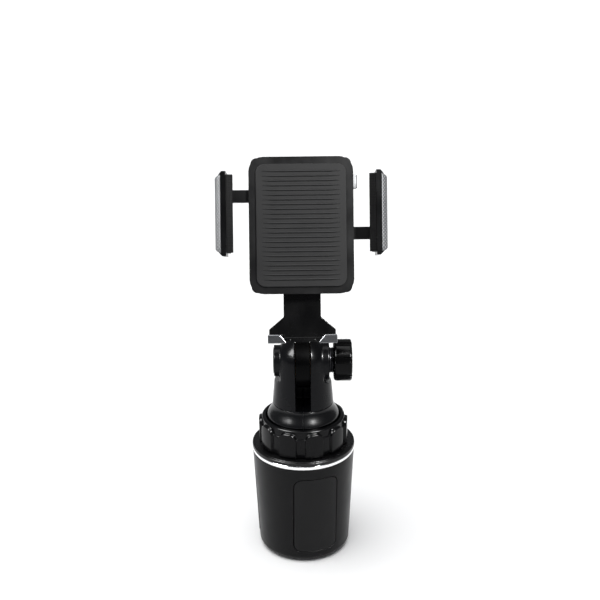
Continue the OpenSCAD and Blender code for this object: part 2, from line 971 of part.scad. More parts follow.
module back_cover() {
    color([0.08, 0.08, 0.085])
        at_head()
            difference() {
                union() {
                    difference() {
                        xz_plate(split_y, cover_y1)
                            case_outline(0);
                        xz_plate(split_y - 1, room_y1)
                            case_outline(case_wall);
                    }
                    case_screw_places()
                        y_rod(split_y, cover_y1 - 1, 3.4);
                    for (s = [-1, 1]) {
                        translate([s * (shoe_half + slide_gap + 0.9) - 0.9, shoe_y0, 6.6])
                            cube([1.8, room_y1 - shoe_y0 + 1, 6]);
                        translate([s * (tongue_half + slide_gap + 1) - 1, tongue_y0 - slide_gap, case_low + 1])
                            cube([2, room_y1 - tongue_y0 + 1, 20]);
                    }
                }
                case_screw_places() {
                    y_rod(split_y - 1, cover_y1 + 1, 1.4);
                    y_rod(cover_y1 - 1.7, cover_y1 + 1, 2.6);
                }
                socket_screw_places() {
                    y_rod(room_y1 - 1, cover_y1 + 1, 1.1);
                    y_rod(room_y1 - 1, room_y1 + 1.2, 2);
                }
                translate([-tongue_half - slide_gap, tongue_y0 - slide_gap, case_low - 2])
                    cube([2 * tongue_half + 2 * slide_gap, room_y1 - tongue_y0 + slide_gap, 6]);
                case_openings();
            }
}

module front_pad() {
    color([0.1, 0.1, 0.1])
        at_head()
            difference() {
                xz_plate(0, cover_y0)
                    translate([0, case_mid])
                        polygon(rounded(case_w - 8, case_h - 8, 5));
                for (k = [-2:2])
                    translate([-case_w / 2 + 8, -0.6, case_mid + k * 10 - 0.6])
                        cube([case_w - 16, 1, 1.2]);
            }
}

module case_screws() {
    color([0.25, 0.25, 0.26])
        at_head()
            case_screw_places()
                rotate([-90, 0, 0])
                    difference() {
                        rotate_extrude()
                            polygon([[0, room_y0 + 1.6], [0.8, room_y0 + 1.6],
                                [1.25, room_y0 + 2.1], [1.25, cover_y1 - 1.7],
                                [2.4, cover_y1 - 1.7], [2.4, cover_y1 - 0.4],
                                [2.1, cover_y1 - 0.15], [0, cover_y1 - 0.15]]);
                        for (a = [0, 90])
                            rotate([0, 0, a])
                                translate([-1.4, -0.3, cover_y1 - 1])
                                    cube([2.8, 0.6, 2]);
                    }
}

// Gear and racks.

base_circle = pitch_r * cos(20);

// Involute angle at radius r, in degrees.
function involute(r) = r <= base_circle ? 0 :
    let (a = acos(base_circle / r)) tan(a) * 180 / PI - a;

// Half the angle that a gear tooth takes up at radius r.
function tooth_half(r) = tooth_t / (2 * pitch_r) * 180 / PI + involute(pitch_r) - involute(r);

GEAR_R = [5.1, 5.64, 5.85, 6.05, 6.3, 6.6, pitch_r + gear_add];

function gear() = [
    for (k = [0:teeth - 1])
        for (p = concat([for (r = GEAR_R) [r, -tooth_half(r)]],
                [for (i = [6:-1:0]) [GEAR_R[i], tooth_half(GEAR_R[i])]]))
            p[0] * [cos(360 / teeth * k + p[1]), sin(360 / teeth * k + p[1])]
];

// Teeth of a rack that lies above the gear, from its root line down.
module rack_teeth() {
    half = tooth_t / 2;
    up = rack_root + 0.4 - pitch_r;
    for (k = [-4:3])
        translate([(k + 0.5) * PI, pitch_r])
            polygon([
                [-half - up * tan(20), up],
                [-half + rack_add * tan(20), -rack_add],
                [half - rack_add * tan(20), -rack_add],
                [half + up * tan(20), up]]);
}

module pinion() {
    color([0.75, 0.73, 0.66])
        at_head()
            difference() {
                union() {
                    xz_plate(rack_y0, rack_y1)
                        polygon(gear());
                    y_rod(rack_y1 - 0.5, 11.4, drum_r);
                    y_rod(rack_y0 - 0.3, 12.4, 3);
                }
                y_rod(0, 20, 1.5 + run_gap);
            }
}

// Two turns of flat spring wire with a straight leg at its outer end.
module pinion_spring() {
    color([0.6, 0.6, 0.62])
        at_head()
            xz_plate(11.6, 12.3)
                polygon(concat(
                    [for (a = [0:15:630]) (3.2 + 1.3 * a / 630) * [cos(a), sin(a)]],
                    [[0, -8], [0.35, -8]],
                    [for (a = [630:-15:0]) (3.5 + 1.3 * a / 630) * [cos(a), sin(a)]]));
}

// A slider as it is on the left, with its rack above the gear.
module slider() {
    difference() {
        union() {
            xz_plate(rack_y0, rack_y1)
                union() {
                    translate([-tail_x0 - 0.6, rack_root])
                        square([tail_x0 + 13.6, bar_top - rack_root]);
                    rack_teeth();
                }
            translate([-grip_x1, tail_y0 + 0.02, -tail_half])
                cube([grip_x1 - tail_x0, tail_y1 - tail_y0, 2 * tail_half]);
        }
        for (z = [-9, 9])
            translate([-grip_x0 - 2.05, 0, z]) {
                y_rod(tail_y0 - 1, tail_y1 + 1, 1.15);
                y_rod(tail_y1 - 1.4, tail_y1 + 1, 2);
            }
    }
}

module slider_left() {
    color([0.09, 0.09, 0.095])
        at_head()
            slider();
}

module slider_right() {
    color([0.09, 0.09, 0.095])
        at_head()
            rotate([0, 180, 0])
                slider();
}

// Grips, drawn on the left and turned over for the right.

module grip_body() {
    h = grip_h / 2;
    difference() {
        intersection() {
            translate([0, 0, -h])
                linear_extrude(grip_h)
                    polygon([
                        [-grip_x0, tail_y0],
                        [-grip_x0, -11],
                        [-grip_x0 - 2.6, -11],
                        [-grip_x1, -9.6],
                        [-grip_x1, tail_y0]]);
            xz_plate(-15, 15)
                polygon([
                    [-grip_x0 + 1, -h], [-grip_x0 - 2.2, -h], [-grip_x1 - 0.1, -h + 2.1],
                    [-grip_x1 - 0.1, h - 2.1], [-grip_x0 - 2.2, h], [-grip_x0 + 1, h]]);
        }
        for (z = [-9, 9])
            translate([-grip_x0 - 2.05, 0, z])
                y_rod(-2, tail_y0 + 1, 0.97);
    }
}

module grip_trim() {
    h = grip_h / 2 - 0.5;
    intersection() {
        translate([0, 0, -h])
            linear_extrude(2 * h)
                polygon([
                    [-grip_x1, -9.4],
                    [-grip_x1 - 1.3, -8.4],
                    [-grip_x1 - 2.2, -5],
                    [-grip_x1 - 2.2, 1.5],
                    [-grip_x1 - 1.3, 4.7],
                    [-grip_x1, 5.6]]);
        xz_plate(-15, 15)
            polygon([
                [-grip_x1 + 1, -h + 1.5], [-grip_x1, -h + 1.5], [-grip_x1 - 2.3, -h + 3.5],
                [-grip_x1 - 2.3, h - 3.5], [-grip_x1, h - 1.5], [-grip_x1 + 1, h - 1.5]]);
    }
}

module grip_pad() {
    h = grip_h / 2 - 1.8;
    difference() {
        translate([0, 0, -h])
            linear_extrude(2 * h)
                polygon([
                    [-grip_x0, 3.8],
                    [-pad_x, 3.4],
                    [-pad_x, -8.1],
                    [-pad_x + 2, -8.5],
                    [-pad_x + 2, -9.8],
                    [-grip_x0, -10.7]]);
        for (z = [-h + 4:4:h - 3])
            translate([-pad_x - 0.4, -7, z - 0.5])
                cube([1, 9.5, 1]);
    }
}

module grip_screw_pair() {
    for (z = [-9, 9])
        translate([-grip_x0 - 2.05, 0, z])
            rotate([-90, 0, 0])
                rotate_extrude()
                    polygon([[0, -1.6], [0.6, -1.6], [0.95, -1.1], [0.95, tail_y1 - 1.4],
                        [1.8, tail_y1 - 1.4], [1.8, tail_y1 - 0.2], [0, tail_y1 - 0.2]]);
}

module grip_left() {
    color([0.06, 0.06, 0.065])
        at_head()
            grip_body();
}

module grip_right() {
    color([0.06, 0.06, 0.065])
        at_head()
            mirror([1, 0, 0])
                grip_body();
}

module grip_trim_left() {
    color([0.55, 0.56, 0.57])
        at_head()
            grip_trim();
}

module grip_trim_right() {
    color([0.55, 0.56, 0.57])
        at_head()
            mirror([1, 0, 0])
                grip_trim();
}

module grip_pad_left() {
    color([0.1, 0.1, 0.1])
        at_head()
            grip_pad();
}

module grip_pad_right() {
    color([0.1, 0.1, 0.1])
        at_head()
            mirror([1, 0, 0])
                grip_pad();
}

module grip_screws_left() {
    color([0.25, 0.25, 0.26])
        at_head()
            grip_screw_pair();
}

module grip_screws_right() {
    color([0.25, 0.25, 0.26])
        at_head()
            mirror([1, 0, 0])
                grip_screw_pair();
}

// Brake that holds the gear, and the button that lifts it.

module brake_shoe() {
    color([0.35, 0.2, 0.15])
        at_head()
            difference() {
                xz_plate(shoe_y0, shoe_y1)
                    polygon([[-shoe_half, 3.2], [shoe_half, 3.2], [shoe_half, 24.5], [-shoe_half, 24.5]]);
                y_rod(shoe_y0 - 1, shoe_y1 + 1, drum_r + 0.12);
                xz_plate(9.4, 11.4)
                    polygon([[-9, 13.2], [9, 13.2], [9, ramp + 3.65], [shoe_half, ramp + shoe_half + 0.15],
                        [-shoe_half, ramp - shoe_half + 0.15], [-9, ramp - shoe_half + 0.15]]);
            }
}

module brake_spring() {
    color([0.6, 0.6, 0.62])
        at_head()
            translate([0, 10.4, 0])
                rotate_extrude()
                    polygon([[0.9, 26.6], [1.9, 26.6], [1.5, 27.1], [1.9, 27.7], [1.5, 28.2], [1.9, 28.8],
                        [1.5, 29.3], [1.9, case_top - case_wall], [0.9, case_top - case_wall],
                        [0.6, 29.3], [0.9, 28.8], [0.6, 28.2], [0.9, 27.7], [0.6, 27.1]]);
}

module release_button() {
    color([0.5, 0.5, 0.52])
        at_head()
            union() {
                xz_plate(9.6, 11.2)
                    polygon([[-3, 15.5], [case_w / 2 - 2, 15.5], [case_w / 2 - 2, 20.5], [6, 20.5],
                        [4.5, ramp + 3], [3, ramp + 3], [-3, ramp - 3]]);
                translate([case_w / 2 - 3, 8.6, button_mid - 4])
                    cube([5, 3.6, 8]);
                translate([case_w / 2 + 1.9, 9, button_mid - 3.6])
                    cube([0.5, 2.8, 7.2]);
            }
}

// Feet under the phone.

module foot_guide() {
    color([0.14, 0.14, 0.15])
        at_head()
            translate([-tongue_half - 2.1, tongue_y0 - slide_gap - 1.2, case_low + 4])
                cube([2 * tongue_half + 4.2, 1.2, 15]);
}

module foot_bracket() {
    color([0.06, 0.06, 0.065])
        at_head()
            union() {
                xz_plate(tongue_y0, tongue_y1)
                    polygon([
                        [-tongue_half, tongue_top],
                        [-tongue_half, case_low - 13],
                        [-foot_out, case_low - 20],
                        [-foot_out, shelf_low],
                        [foot_out, shelf_low],
                        [foot_out, case_low - 20],
                        [tongue_half, case_low - 13],
                        [tongue_half, tongue_top]]);
                translate([0, 0, shelf_low])
                    linear_extrude(shelf_top - shelf_low)
                        polygon([
                            [-foot_out, tongue_y1 - 0.5],
                            [-foot_out, -12.4],
                            [-foot_in, -12.4],
                            [-foot_in, -6],
                            [-foot_in + 4, -2],
                            [foot_in - 4, -2],
                            [foot_in, -6],
                            [foot_in, -12.4],
                            [foot_out, -12.4],
                            [foot_out, tongue_y1 - 0.5]]);
                for (s = [-1, 1])
                    translate([s * foot_pitch / 2 - foot_w / 2, -12.4, shelf_low])
                        cube([foot_w, 2.2, 4.7]);
            }
}

module foot_tips() {
    color([0.3, 0.31, 0.32])
        at_head()
            xz_plate(-13.5, -12.4)
                for (s = [-1, 1])
                    polygon([
                        [s * foot_out, shelf_low],
                        [s * foot_out, shelf_low + 4.7],
                        [s * (foot_in + 1.5), shelf_low + 4.7],
                        [s * (foot_in - 2), shelf_low + 0.9],
                        [s * (foot_in - 2), shelf_low]]);
}

module foot_cushions() {
    color([0.1, 0.1, 0.1])
        at_head()
            for (s = [-1, 1])
                translate([s * foot_pitch / 2 - 3.4, -9.8, shelf_top])
                    cube([6.8, 12, 0.8]);
}

base_shell();
foot_pad();
chrome_ring();
top_plate();
guide_frame();
swivel_post();
post_screws();
post_head();
wing_1();
wing_2();
wing_3();
wing_pad_1();
wing_pad_2();
wing_pad_3();
grip_ring();
scroll_cam();
cam_screws();
neck_left();
neck_right();
skirt_left();
skirt_right();
neck_screws();
swivel_washer();
pivot_bolt();
bolt_cap();
knob_washer();
friction_washers();
knob();
knob_nut();
arm();
ball_stud();
liner_front();
liner_rear();
socket();
socket_screws();
lock_nut();
back_cover();
front_cover();
front_pad();
case_screws();
pinion();
pinion_spring();
slider_left();
slider_right();
grip_left();
grip_right();
grip_trim_left();
grip_trim_right();
grip_pad_left();
grip_pad_right();
grip_screws_left();
grip_screws_right();
brake_shoe();
brake_spring();
release_button();
foot_guide();
foot_bracket();
foot_tips();
foot_cushions();
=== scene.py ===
import json
import math

import bmesh
import bpy
from mathutils import Matrix, Vector


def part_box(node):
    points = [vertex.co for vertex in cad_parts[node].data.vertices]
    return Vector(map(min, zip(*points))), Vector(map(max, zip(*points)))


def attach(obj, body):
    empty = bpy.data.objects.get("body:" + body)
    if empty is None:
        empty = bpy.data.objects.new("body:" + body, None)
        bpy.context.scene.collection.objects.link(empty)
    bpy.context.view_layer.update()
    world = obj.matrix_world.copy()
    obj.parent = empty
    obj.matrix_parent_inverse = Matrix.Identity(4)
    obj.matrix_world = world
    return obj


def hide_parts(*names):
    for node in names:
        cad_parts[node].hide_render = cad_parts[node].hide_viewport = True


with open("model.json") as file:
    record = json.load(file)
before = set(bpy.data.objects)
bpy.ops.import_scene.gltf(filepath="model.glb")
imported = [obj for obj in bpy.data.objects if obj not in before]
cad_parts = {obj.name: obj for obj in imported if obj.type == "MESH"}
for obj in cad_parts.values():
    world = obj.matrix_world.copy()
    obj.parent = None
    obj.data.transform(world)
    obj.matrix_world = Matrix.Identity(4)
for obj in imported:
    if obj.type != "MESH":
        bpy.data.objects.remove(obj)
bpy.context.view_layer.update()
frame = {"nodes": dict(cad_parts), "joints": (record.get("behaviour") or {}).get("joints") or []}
scene = bpy.context.scene
joints = {joint["name"]: joint for joint in frame["joints"]}
MM = 0.001


# ---------------------------------------------------------------- Studio
# White paper on the floor of a pale room, in soft daylight. Two soft boxes high up in
# front, a broad one on the left and a small one on the right, give the highlights.

CAMERA_AT = (-0.0012, -0.572, 0.3735)
CAMERA_DOWN = 19.8
CAMERA_ROLL = -0.64

view_data = bpy.data.cameras.new("view")
view_data.lens = 60
view_data.sensor_width = 36
view = bpy.data.objects.new("view", view_data)
view.matrix_world = (
    Matrix.Translation(CAMERA_AT)
    @ Matrix.Rotation(math.radians(90 - CAMERA_DOWN), 4, "X")
    @ Matrix.Rotation(math.radians(CAMERA_ROLL), 4, "Z")
)
scene.collection.objects.link(view)
scene.camera = view

PAPER_WIDTH = 40.0
bpy.ops.mesh.primitive_plane_add(size=PAPER_WIDTH)
floor = bpy.context.object
floor.name = "studio_floor"
paper = bpy.data.materials.new("studio_paper")
paper.use_nodes = True
paper_shader = paper.node_tree.nodes["Principled BSDF"]
paper_shader.inputs["Base Color"].default_value = (0.95, 0.95, 0.95, 1)
paper_shader.inputs["Roughness"].default_value = 0.8
paper_shader.inputs["Specular IOR Level"].default_value = 0.1
floor.data.materials.append(paper)

# The room looks white but lights the object only a little, so that black stays black.
room = bpy.data.worlds.new("studio_room")
room.use_nodes = True
room_nodes, room_links = room.node_tree.nodes, room.node_tree.links
room_seen = room_nodes["Background"]
room_seen.inputs["Color"].default_value = (1, 1, 1, 1)
room_seen.inputs["Strength"].default_value = 1.0
room_lit = room_nodes.new("ShaderNodeBackground")
room_lit.inputs["Color"].default_value = (0.95, 0.97, 1, 1)
room_lit.inputs["Strength"].default_value = 0.25
room_ray = room_nodes.new("ShaderNodeLightPath")
room_mix = room_nodes.new("ShaderNodeMixShader")
room_links.new(room_ray.outputs["Is Camera Ray"], room_mix.inputs["Fac"])
room_links.new(room_lit.outputs["Background"], room_mix.inputs[1])
room_links.new(room_seen.outputs["Background"], room_mix.inputs[2])
room_links.new(room_mix.outputs["Shader"], room_nodes["World Output"].inputs["Surface"])
scene.world = room
scene.view_settings.view_transform = "Standard"
scene.view_settings.look = "None"


def soft_box(name, place, aim, width, height, watts):
    """An area light at place, in metres, aimed at aim. It gives highlights and nothing else."""
    lamp = bpy.data.lights.new(name, "AREA")
    lamp.shape = "RECTANGLE"
    lamp.size = width
    lamp.size_y = height
    lamp.energy = watts
    box = bpy.data.objects.new(name, lamp)
    box.location = place
    box.rotation_euler = (Vector(aim) - Vector(place)).to_track_quat("-Z", "Y").to_euler()
    box.visible_diffuse = False
    scene.collection.objects.link(box)


soft_box("soft_box_left", (-0.62, -0.34, 0.78), (0, 0, 0.13), 0.42, 0.42, 30)
soft_box("soft_box_right", (0.41, -0.54, 0.72), (0, 0, 0.13), 0.15, 0.15, 34)

day = bpy.data.lights.new("daylight", "SUN")
day.energy = 3.3
day.angle = math.radians(60)
day_object = bpy.data.objects.new("daylight", day)
day_object.rotation_euler = (math.radians(12), math.radians(-8), 0)
scene.collection.objects.link(day_object)


# ---------------------------------------------------------------- Foot pad
# A round pad of matt black rubber let into the underside of the base, with two
# pressed rings that keep it from sliding. It is glued in.

RUBBER_BLACK = (0.010, 0.010, 0.011, 1)
MERGE_WITHIN = 0.000002
SHARP_ANGLE = 32
PATCH_SIZE = 0.011


def patchy(name, colour, roughness, fade, spread, metallic=0.0, shine=0.5):
    """A material whose colour and roughness vary a little in soft patches.

    It gives back the material, its node tree, its shader and its texture coordinates.
    """
    material = bpy.data.materials.new(name)
    material.use_nodes = True
    tree = material.node_tree
    nodes, links = tree.nodes, tree.links
    shader = nodes["Principled BSDF"]
    shader.inputs["Base Color"].default_value = colour
    shader.inputs["Roughness"].default_value = roughness
    shader.inputs["Metallic"].default_value = metallic
    shader.inputs["Specular IOR Level"].default_value = shine
    place = nodes.new("ShaderNodeTexCoord")
    patches = nodes.new("ShaderNodeTexNoise")
    patches.inputs["Scale"].default_value = 1 / PATCH_SIZE
    patches.inputs["Detail"].default_value = 5
    links.new(place.outputs["Object"], patches.inputs["Vector"])
    sheen = nodes.new("ShaderNodeMapRange")
    sheen.inputs["From Min"].default_value = 0.3
    sheen.inputs["From Max"].default_value = 0.7
    sheen.inputs["To Min"].default_value = roughness - spread
    sheen.inputs["To Max"].default_value = roughness + spread
    links.new(patches.outputs["Fac"], sheen.inputs["Value"])
    links.new(sheen.outputs["Result"], shader.inputs["Roughness"])
    tint = nodes.new("ShaderNodeMix")
    tint.data_type = "RGBA"
    tint.inputs["A"].default_value = (*[c * (1 - fade) for c in colour[:3]], 1)
    tint.inputs["B"].default_value = (*[min(1, c * (1 + fade)) for c in colour[:3]], 1)
    links.new(patches.outputs["Fac"], tint.inputs["Factor"])
    links.new(tint.outputs["Result"], shader.inputs["Base Color"])
    return material, tree, shader, place


def add_bump(tree, shader, height, depth):
    """Bends the normals as if the height socket, from 0 to 1, stood depth metres high."""
    bump = tree.nodes.new("ShaderNodeBump")
    bump.inputs["Strength"].default_value = 1.0
    bump.inputs["Distance"].default_value = depth
    tree.links.new(height, bump.inputs["Height"])
    tree.links.new(bump.outputs["Normal"], shader.inputs["Normal"])


def add_grain(tree, shader, place, grain, depth, detail, roughness=0.5):
    """A fine grain all over, grain metres across and depth metres deep."""
    sparks = tree.nodes.new("ShaderNodeTexNoise")
    sparks.inputs["Scale"].default_value = 1 / grain
    sparks.inputs["Detail"].default_value = detail
    sparks.inputs["Roughness"].default_value = roughness
    tree.links.new(place.outputs["Object"], sparks.inputs["Vector"])
    add_bump(tree, shader, sparks.outputs["Fac"], depth)


def moulding(name, colour, roughness, grain=0.0004, depth=0.00001, spread=0.05, fade=0.15,
             shine=0.2):
    """Moulded plastic or rubber, with the fine spark grain that its mould leaves."""
    material, tree, shader, place = patchy(name, colour, roughness, fade, spread, shine=shine)
    add_grain(tree, shader, place, grain, depth, detail=3, roughness=0.6)
    return material


def bevel_edges(piece, width, steps, angle):
    """Rounds the edges where a piece turns by more than angle degrees, width metres wide."""
    edge = piece.modifiers.new("edge", "BEVEL")
    edge.width = width
    edge.segments = steps
    edge.limit_method = "ANGLE"
    edge.angle_limit = math.radians(angle)


def even_normals(piece):
    """Lets the large faces of a piece set how light runs over its rounded edges."""
    smooth = piece.modifiers.new("smooth", "WEIGHTED_NORMAL")
    smooth.keep_sharp = True
    smooth.weight = 50


def shade_smooth(data):
    """Shades all faces of a mesh as parts of one smooth surface."""
    data.polygons.foreach_set("use_smooth", [True] * len(data.polygons))


def round_edges(node, width, material, steps=3):
    """Finishes a CAD part: joins its loose triangles, rounds its edges and paints it."""
    part = frame["nodes"][node]
    join = part.modifiers.new("join", "WELD")
    join.merge_threshold = MERGE_WITHIN
    if width:
        bevel_edges(part, width, steps, SHARP_ANGLE)
    shade_smooth(part.data)
    even_normals(part)
    part.data.materials.clear()
    part.data.materials.append(material)


pad_rubber = moulding("pad_rubber", RUBBER_BLACK, 0.72, grain=0.0006, depth=0.00003)
round_edges("foot_pad", 0.0003, pad_rubber)


# ---------------------------------------------------------------- Base shell
# The cup base: one tapered black moulding with three windows for the wings. Its satin
# outside has a very fine spark grain, and the windows' edges are softly rounded.

shell_black = moulding("shell_black", (0.005, 0.005, 0.0055, 1), 0.33, shine=0.11, depth=0.000006)
round_edges("base_shell", 0.0005, shell_black)


# ---------------------------------------------------------------- Guide frame and post
# Inside the shell a glass-filled nylon frame guides the wings, round a hollow post that
# carries the ring and the neck. Three cross-head screws hold the post from below.

NYLON_GREY = (0.035, 0.035, 0.038, 1)
ZINC = (0.62, 0.63, 0.64, 1)
POST_SCREWS_AT = 12.0
POST_SCREW_HEAD_R, POST_SCREW_HEAD_H = 2.3, 1.1

nylon = moulding("glass_nylon", NYLON_GREY, 0.5, grain=0.0003, depth=0.00002, spread=0.1)


def plated_steel(name, colour, roughness):
    """Plated or turned metal, with a very fine grain of scratches."""
    material, tree, shader, place = patchy(name, colour, roughness, 0.06, 0.07, metallic=1.0)
    add_grain(tree, shader, place, grain=0.0002, depth=0.000002, detail=2)
    return material


def new_object(name, mesh, material=None):
    """Makes an object of a bmesh in metres, with smooth faces that point outwards."""
    bmesh.ops.remove_doubles(mesh, verts=mesh.verts, dist=0.0000005)
    bmesh.ops.recalc_face_normals(mesh, faces=mesh.faces)
    data = bpy.data.meshes.new(name)
    mesh.to_mesh(data)
    mesh.free()
    shade_smooth(data)
    made = bpy.data.objects.new(name, data)
    scene.collection.objects.link(made)
    if material:
        data.materials.append(material)
    return made


def turned(profile, steps=64, start=0.0, sweep=360.0, swell=None):
    """A closed solid turned about Z, as a bmesh in metres.

    profile is its closed outline of (radius, height) points in millimetres, and
    swell(angle, radius, height) may give a point another radius, for lobes and flutes.
    """
    mesh = bmesh.new()
    whole = sweep >= 360
    rings = []
    for i in range(steps if whole else steps + 1):
        angle = math.radians(start + sweep * i / steps)
        ring = []
        for radius, height in profile:
            reach = swell(angle, radius, height) if swell else radius
            spot = (reach * math.cos(angle), reach * math.sin(angle), height)
            ring.append(mesh.verts.new(Vector(spot) * MM))
        rings.append(ring)
    for i in range(steps):
        near, far = rings[i], rings[(i + 1) % len(rings)]
        for j in range(len(profile)):
            k = (j + 1) % len(profile)
            mesh.faces.new((near[j], far[j], far[k], near[k]))
    if not whole:
        mesh.faces.new(rings[0])
        mesh.faces.new(list(reversed(rings[-1])))
    return mesh


def baked(made, material=None):
    """Turns an object with live modifiers into a plain one of the same shape."""
    bpy.context.view_layer.update()
    seen = made.evaluated_get(bpy.context.evaluated_depsgraph_get())
    data = bpy.data.meshes.new_from_object(seen)
    made.modifiers.clear()
    made.data = data
    shade_smooth(data)
    if material:
        data.materials.clear()
        data.materials.append(material)
        data.polygons.foreach_set("material_index", [0] * len(data.polygons))
    return made


def finish_piece(piece, body, replaced, edge=0.0, steps=2, angle=SHARP_ANGLE):
    """Rounds a made piece's edges, hangs it on its body and hides the CAD node that it replaces."""
    if edge:
        bevel_edges(piece, edge * MM, steps, angle)
    even_normals(piece)
    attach(piece, body)
    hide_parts(replaced)


def screw_shape(head_r, head_h, shank_r, length):
    """A cross-head screw that points down -Z, with the underside of its head at z = 0."""
    rim = head_r * 0.12
    slot_width, slot_floor = head_r * 0.3, head_h * 0.3
    profile = [(0, -length), (shank_r * 0.3, -length), (shank_r, -length + shank_r)]
    pitch = shank_r * 0.6
    turns = int((length - shank_r - 0.4) / pitch)
    for k in range(turns):
        z = -length + shank_r + k * pitch
        profile += [(shank_r * 0.82, z + pitch * 0.25), (shank_r, z + pitch * 0.75)]
    profile += [(shank_r, -0.02), (head_r, 0), (head_r, head_h * 0.5),
                (head_r - rim, head_h * 0.85), (head_r * 0.5, head_h), (0, head_h)]
    screw = new_object("screw", turned(profile, steps=28))
    bars = []
    for turn in (0, 90):
        cutter = bmesh.new()
        bar = bmesh.ops.create_cube(cutter, size=1)["verts"]
        for vertex in bar:
            taper = 1 if vertex.co.z > 0 else 0.55
            vertex.co.x *= head_r * 1.15 * taper * MM
            vertex.co.y *= slot_width * taper * MM
            vertex.co.z = (slot_floor if vertex.co.z < 0 else head_h * 1.3) * MM
        bmesh.ops.rotate(cutter, verts=bar, matrix=Matrix.Rotation(math.radians(turn), 3, "Z"))
        bars.append(new_object("cross_bar", cutter))
        cut = screw.modifiers.new("cross", "BOOLEAN")
        cut.object = bars[-1]
        cut.operation = "DIFFERENCE"
    baked(screw)
    for cross_bar in bars:
        bpy.data.objects.remove(cross_bar)
    return screw


def new_tree(name, inputs):
    """A Geometry Nodes tree with the named inputs, and its input node."""
    tree = bpy.data.node_groups.new(name, "GeometryNodeTree")
    for label, kind in inputs:
        tree.interface.new_socket(label, in_out="INPUT", socket_type="NodeSocket" + kind)
    tree.interface.new_socket("Made", in_out="OUTPUT", socket_type="NodeSocketGeometry")
    return tree, tree.nodes.new("NodeGroupInput").outputs


def end_tree(tree, given, made):
    """Ends a tree: makes its copies real and gives everything its Finish."""
    nodes, links = tree.nodes, tree.links
    real = nodes.new("GeometryNodeRealizeInstances")
    paint = nodes.new("GeometryNodeSetMaterial")
    links.new(made, real.inputs["Geometry"])
    links.new(real.outputs["Geometry"], paint.inputs["Geometry"])
    links.new(given["Finish"], paint.inputs["Material"])
    links.new(paint.outputs["Geometry"], nodes.new("NodeGroupOutput").inputs["Made"])
    return tree


def copies_on(tree, points, part):
    """Sets a copy of the object socket part on every point, and gives back the node."""
    source = tree.nodes.new("GeometryNodeObjectInfo")
    placing = tree.nodes.new("GeometryNodeInstanceOnPoints")
    tree.links.new(part, source.inputs["Object"])
    tree.links.new(points, placing.inputs["Points"])
    tree.links.new(source.outputs["Geometry"], placing.inputs["Instance"])
    return placing


def placing_tree():
    """Sets a copy of one part on every point of a mesh, all turned the same way."""
    tree, given = new_tree("set_on_points", (
        ("Points", "Geometry"), ("Part", "Object"), ("Turn", "Vector"), ("Finish", "Material")))
    placing = copies_on(tree, given["Points"], given["Part"])
    turning = tree.nodes.new("FunctionNodeEulerToRotation")
    tree.links.new(given["Turn"], turning.inputs["Euler"])
    tree.links.new(turning.outputs["Rotation"], placing.inputs["Rotation"])
    return end_tree(tree, given, placing.outputs["Instances"])


def set_inputs(modifier, values):
    """Sets a Geometry Nodes modifier's inputs by the names of its sockets."""
    for item in modifier.node_group.interface.items_tree:
        if item.item_type == "SOCKET" and item.in_out == "INPUT" and item.name in values:
            modifier[item.identifier] = values[item.name]


set_on_points = placing_tree()


def set_copies(name, part, places, facing, material):
    """An object of one copy of part at each place in metres, its +Z turned along facing."""
    points = bmesh.new()
    for place in places:
        points.verts.new(place)
    data = bpy.data.meshes.new(name)
    points.to_mesh(data)
    points.free()
    group = bpy.data.objects.new(name, data)
    scene.collection.objects.link(group)
    data.materials.append(material)
    placing = group.modifiers.new("copies", "NODES")
    placing.node_group = set_on_points
    turn = Vector(facing).to_track_quat("Z", "Y").to_euler()
    set_inputs(placing, {"Part": part, "Turn": tuple(turn), "Finish": material})
    baked(group, material)
    bpy.data.objects.remove(part)
    return group


zinc = plated_steel("zinc_plate", ZINC, 0.34)
for node in ("guide_frame", "swivel_post"):
    round_edges(node, 0.0003, nylon)
round_edges("post_head", 0.0003, zinc)

wing_axis = Vector(joints["front_wing_slide"]["axis"])
wing_turn = math.atan2(wing_axis.y, wing_axis.x)
screw_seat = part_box("post_screws")[0][2] / MM + POST_SCREW_HEAD_H
places = []
for k in range(3):
    turn = wing_turn + math.radians(60 + 120 * k)
    spot = (POST_SCREWS_AT * math.cos(turn), POST_SCREWS_AT * math.sin(turn), screw_seat)
    places.append(Vector(spot) * MM)
screw = screw_shape(POST_SCREW_HEAD_R, POST_SCREW_HEAD_H, 1.25, 4.0)
post_screws = set_copies("post_screw_set", screw, places, (0, 0, -1), zinc)
finish_piece(post_screws, "base", "post_screws")


# ---------------------------------------------------------------- Rim
# A bright chrome-plated ring snaps round the top of the shell, under a black rim plate.
# The plate's face has fine turned lines and two small raised marks for the ring's turn.

CHROME = (0.92, 0.92, 0.93, 1)
chrome = patchy("chrome_plate", CHROME, 0.07, 0.02, 0.03, metallic=1.0)[0]


def add_prism(mesh, near, far):
    """Adds a closed prism between two outlines of the same number of points to a bmesh."""
    near, far = [mesh.verts.new(spot) for spot in near], [mesh.verts.new(spot) for spot in far]
    mesh.faces.new(near)
    mesh.faces.new(list(reversed(far)))
    for i in range(len(near)):
        k = (i + 1) % len(near)
        mesh.faces.new((near[i], far[i], far[k], near[k]))


chrome_low, chrome_high = (corner[2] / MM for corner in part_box("chrome_ring"))
chrome_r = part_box("chrome_ring")[1][0] / MM
CHROME_WALL = 2.5
chrome_profile = [
    (chrome_r - CHROME_WALL, chrome_low), (chrome_r - 0.4, chrome_low),
    (chrome_r - 0.1, chrome_low + 0.25), (chrome_r, chrome_low + 0.6),
    (chrome_r, chrome_high - 0.6), (chrome_r - 0.1, chrome_high - 0.25),
    (chrome_r - 0.4, chrome_high), (chrome_r - CHROME_WALL, chrome_high)]
chrome_ring = new_object("chrome_ring_plated", turned(chrome_profile, steps=256), chrome)
finish_piece(chrome_ring, "base", "chrome_ring")

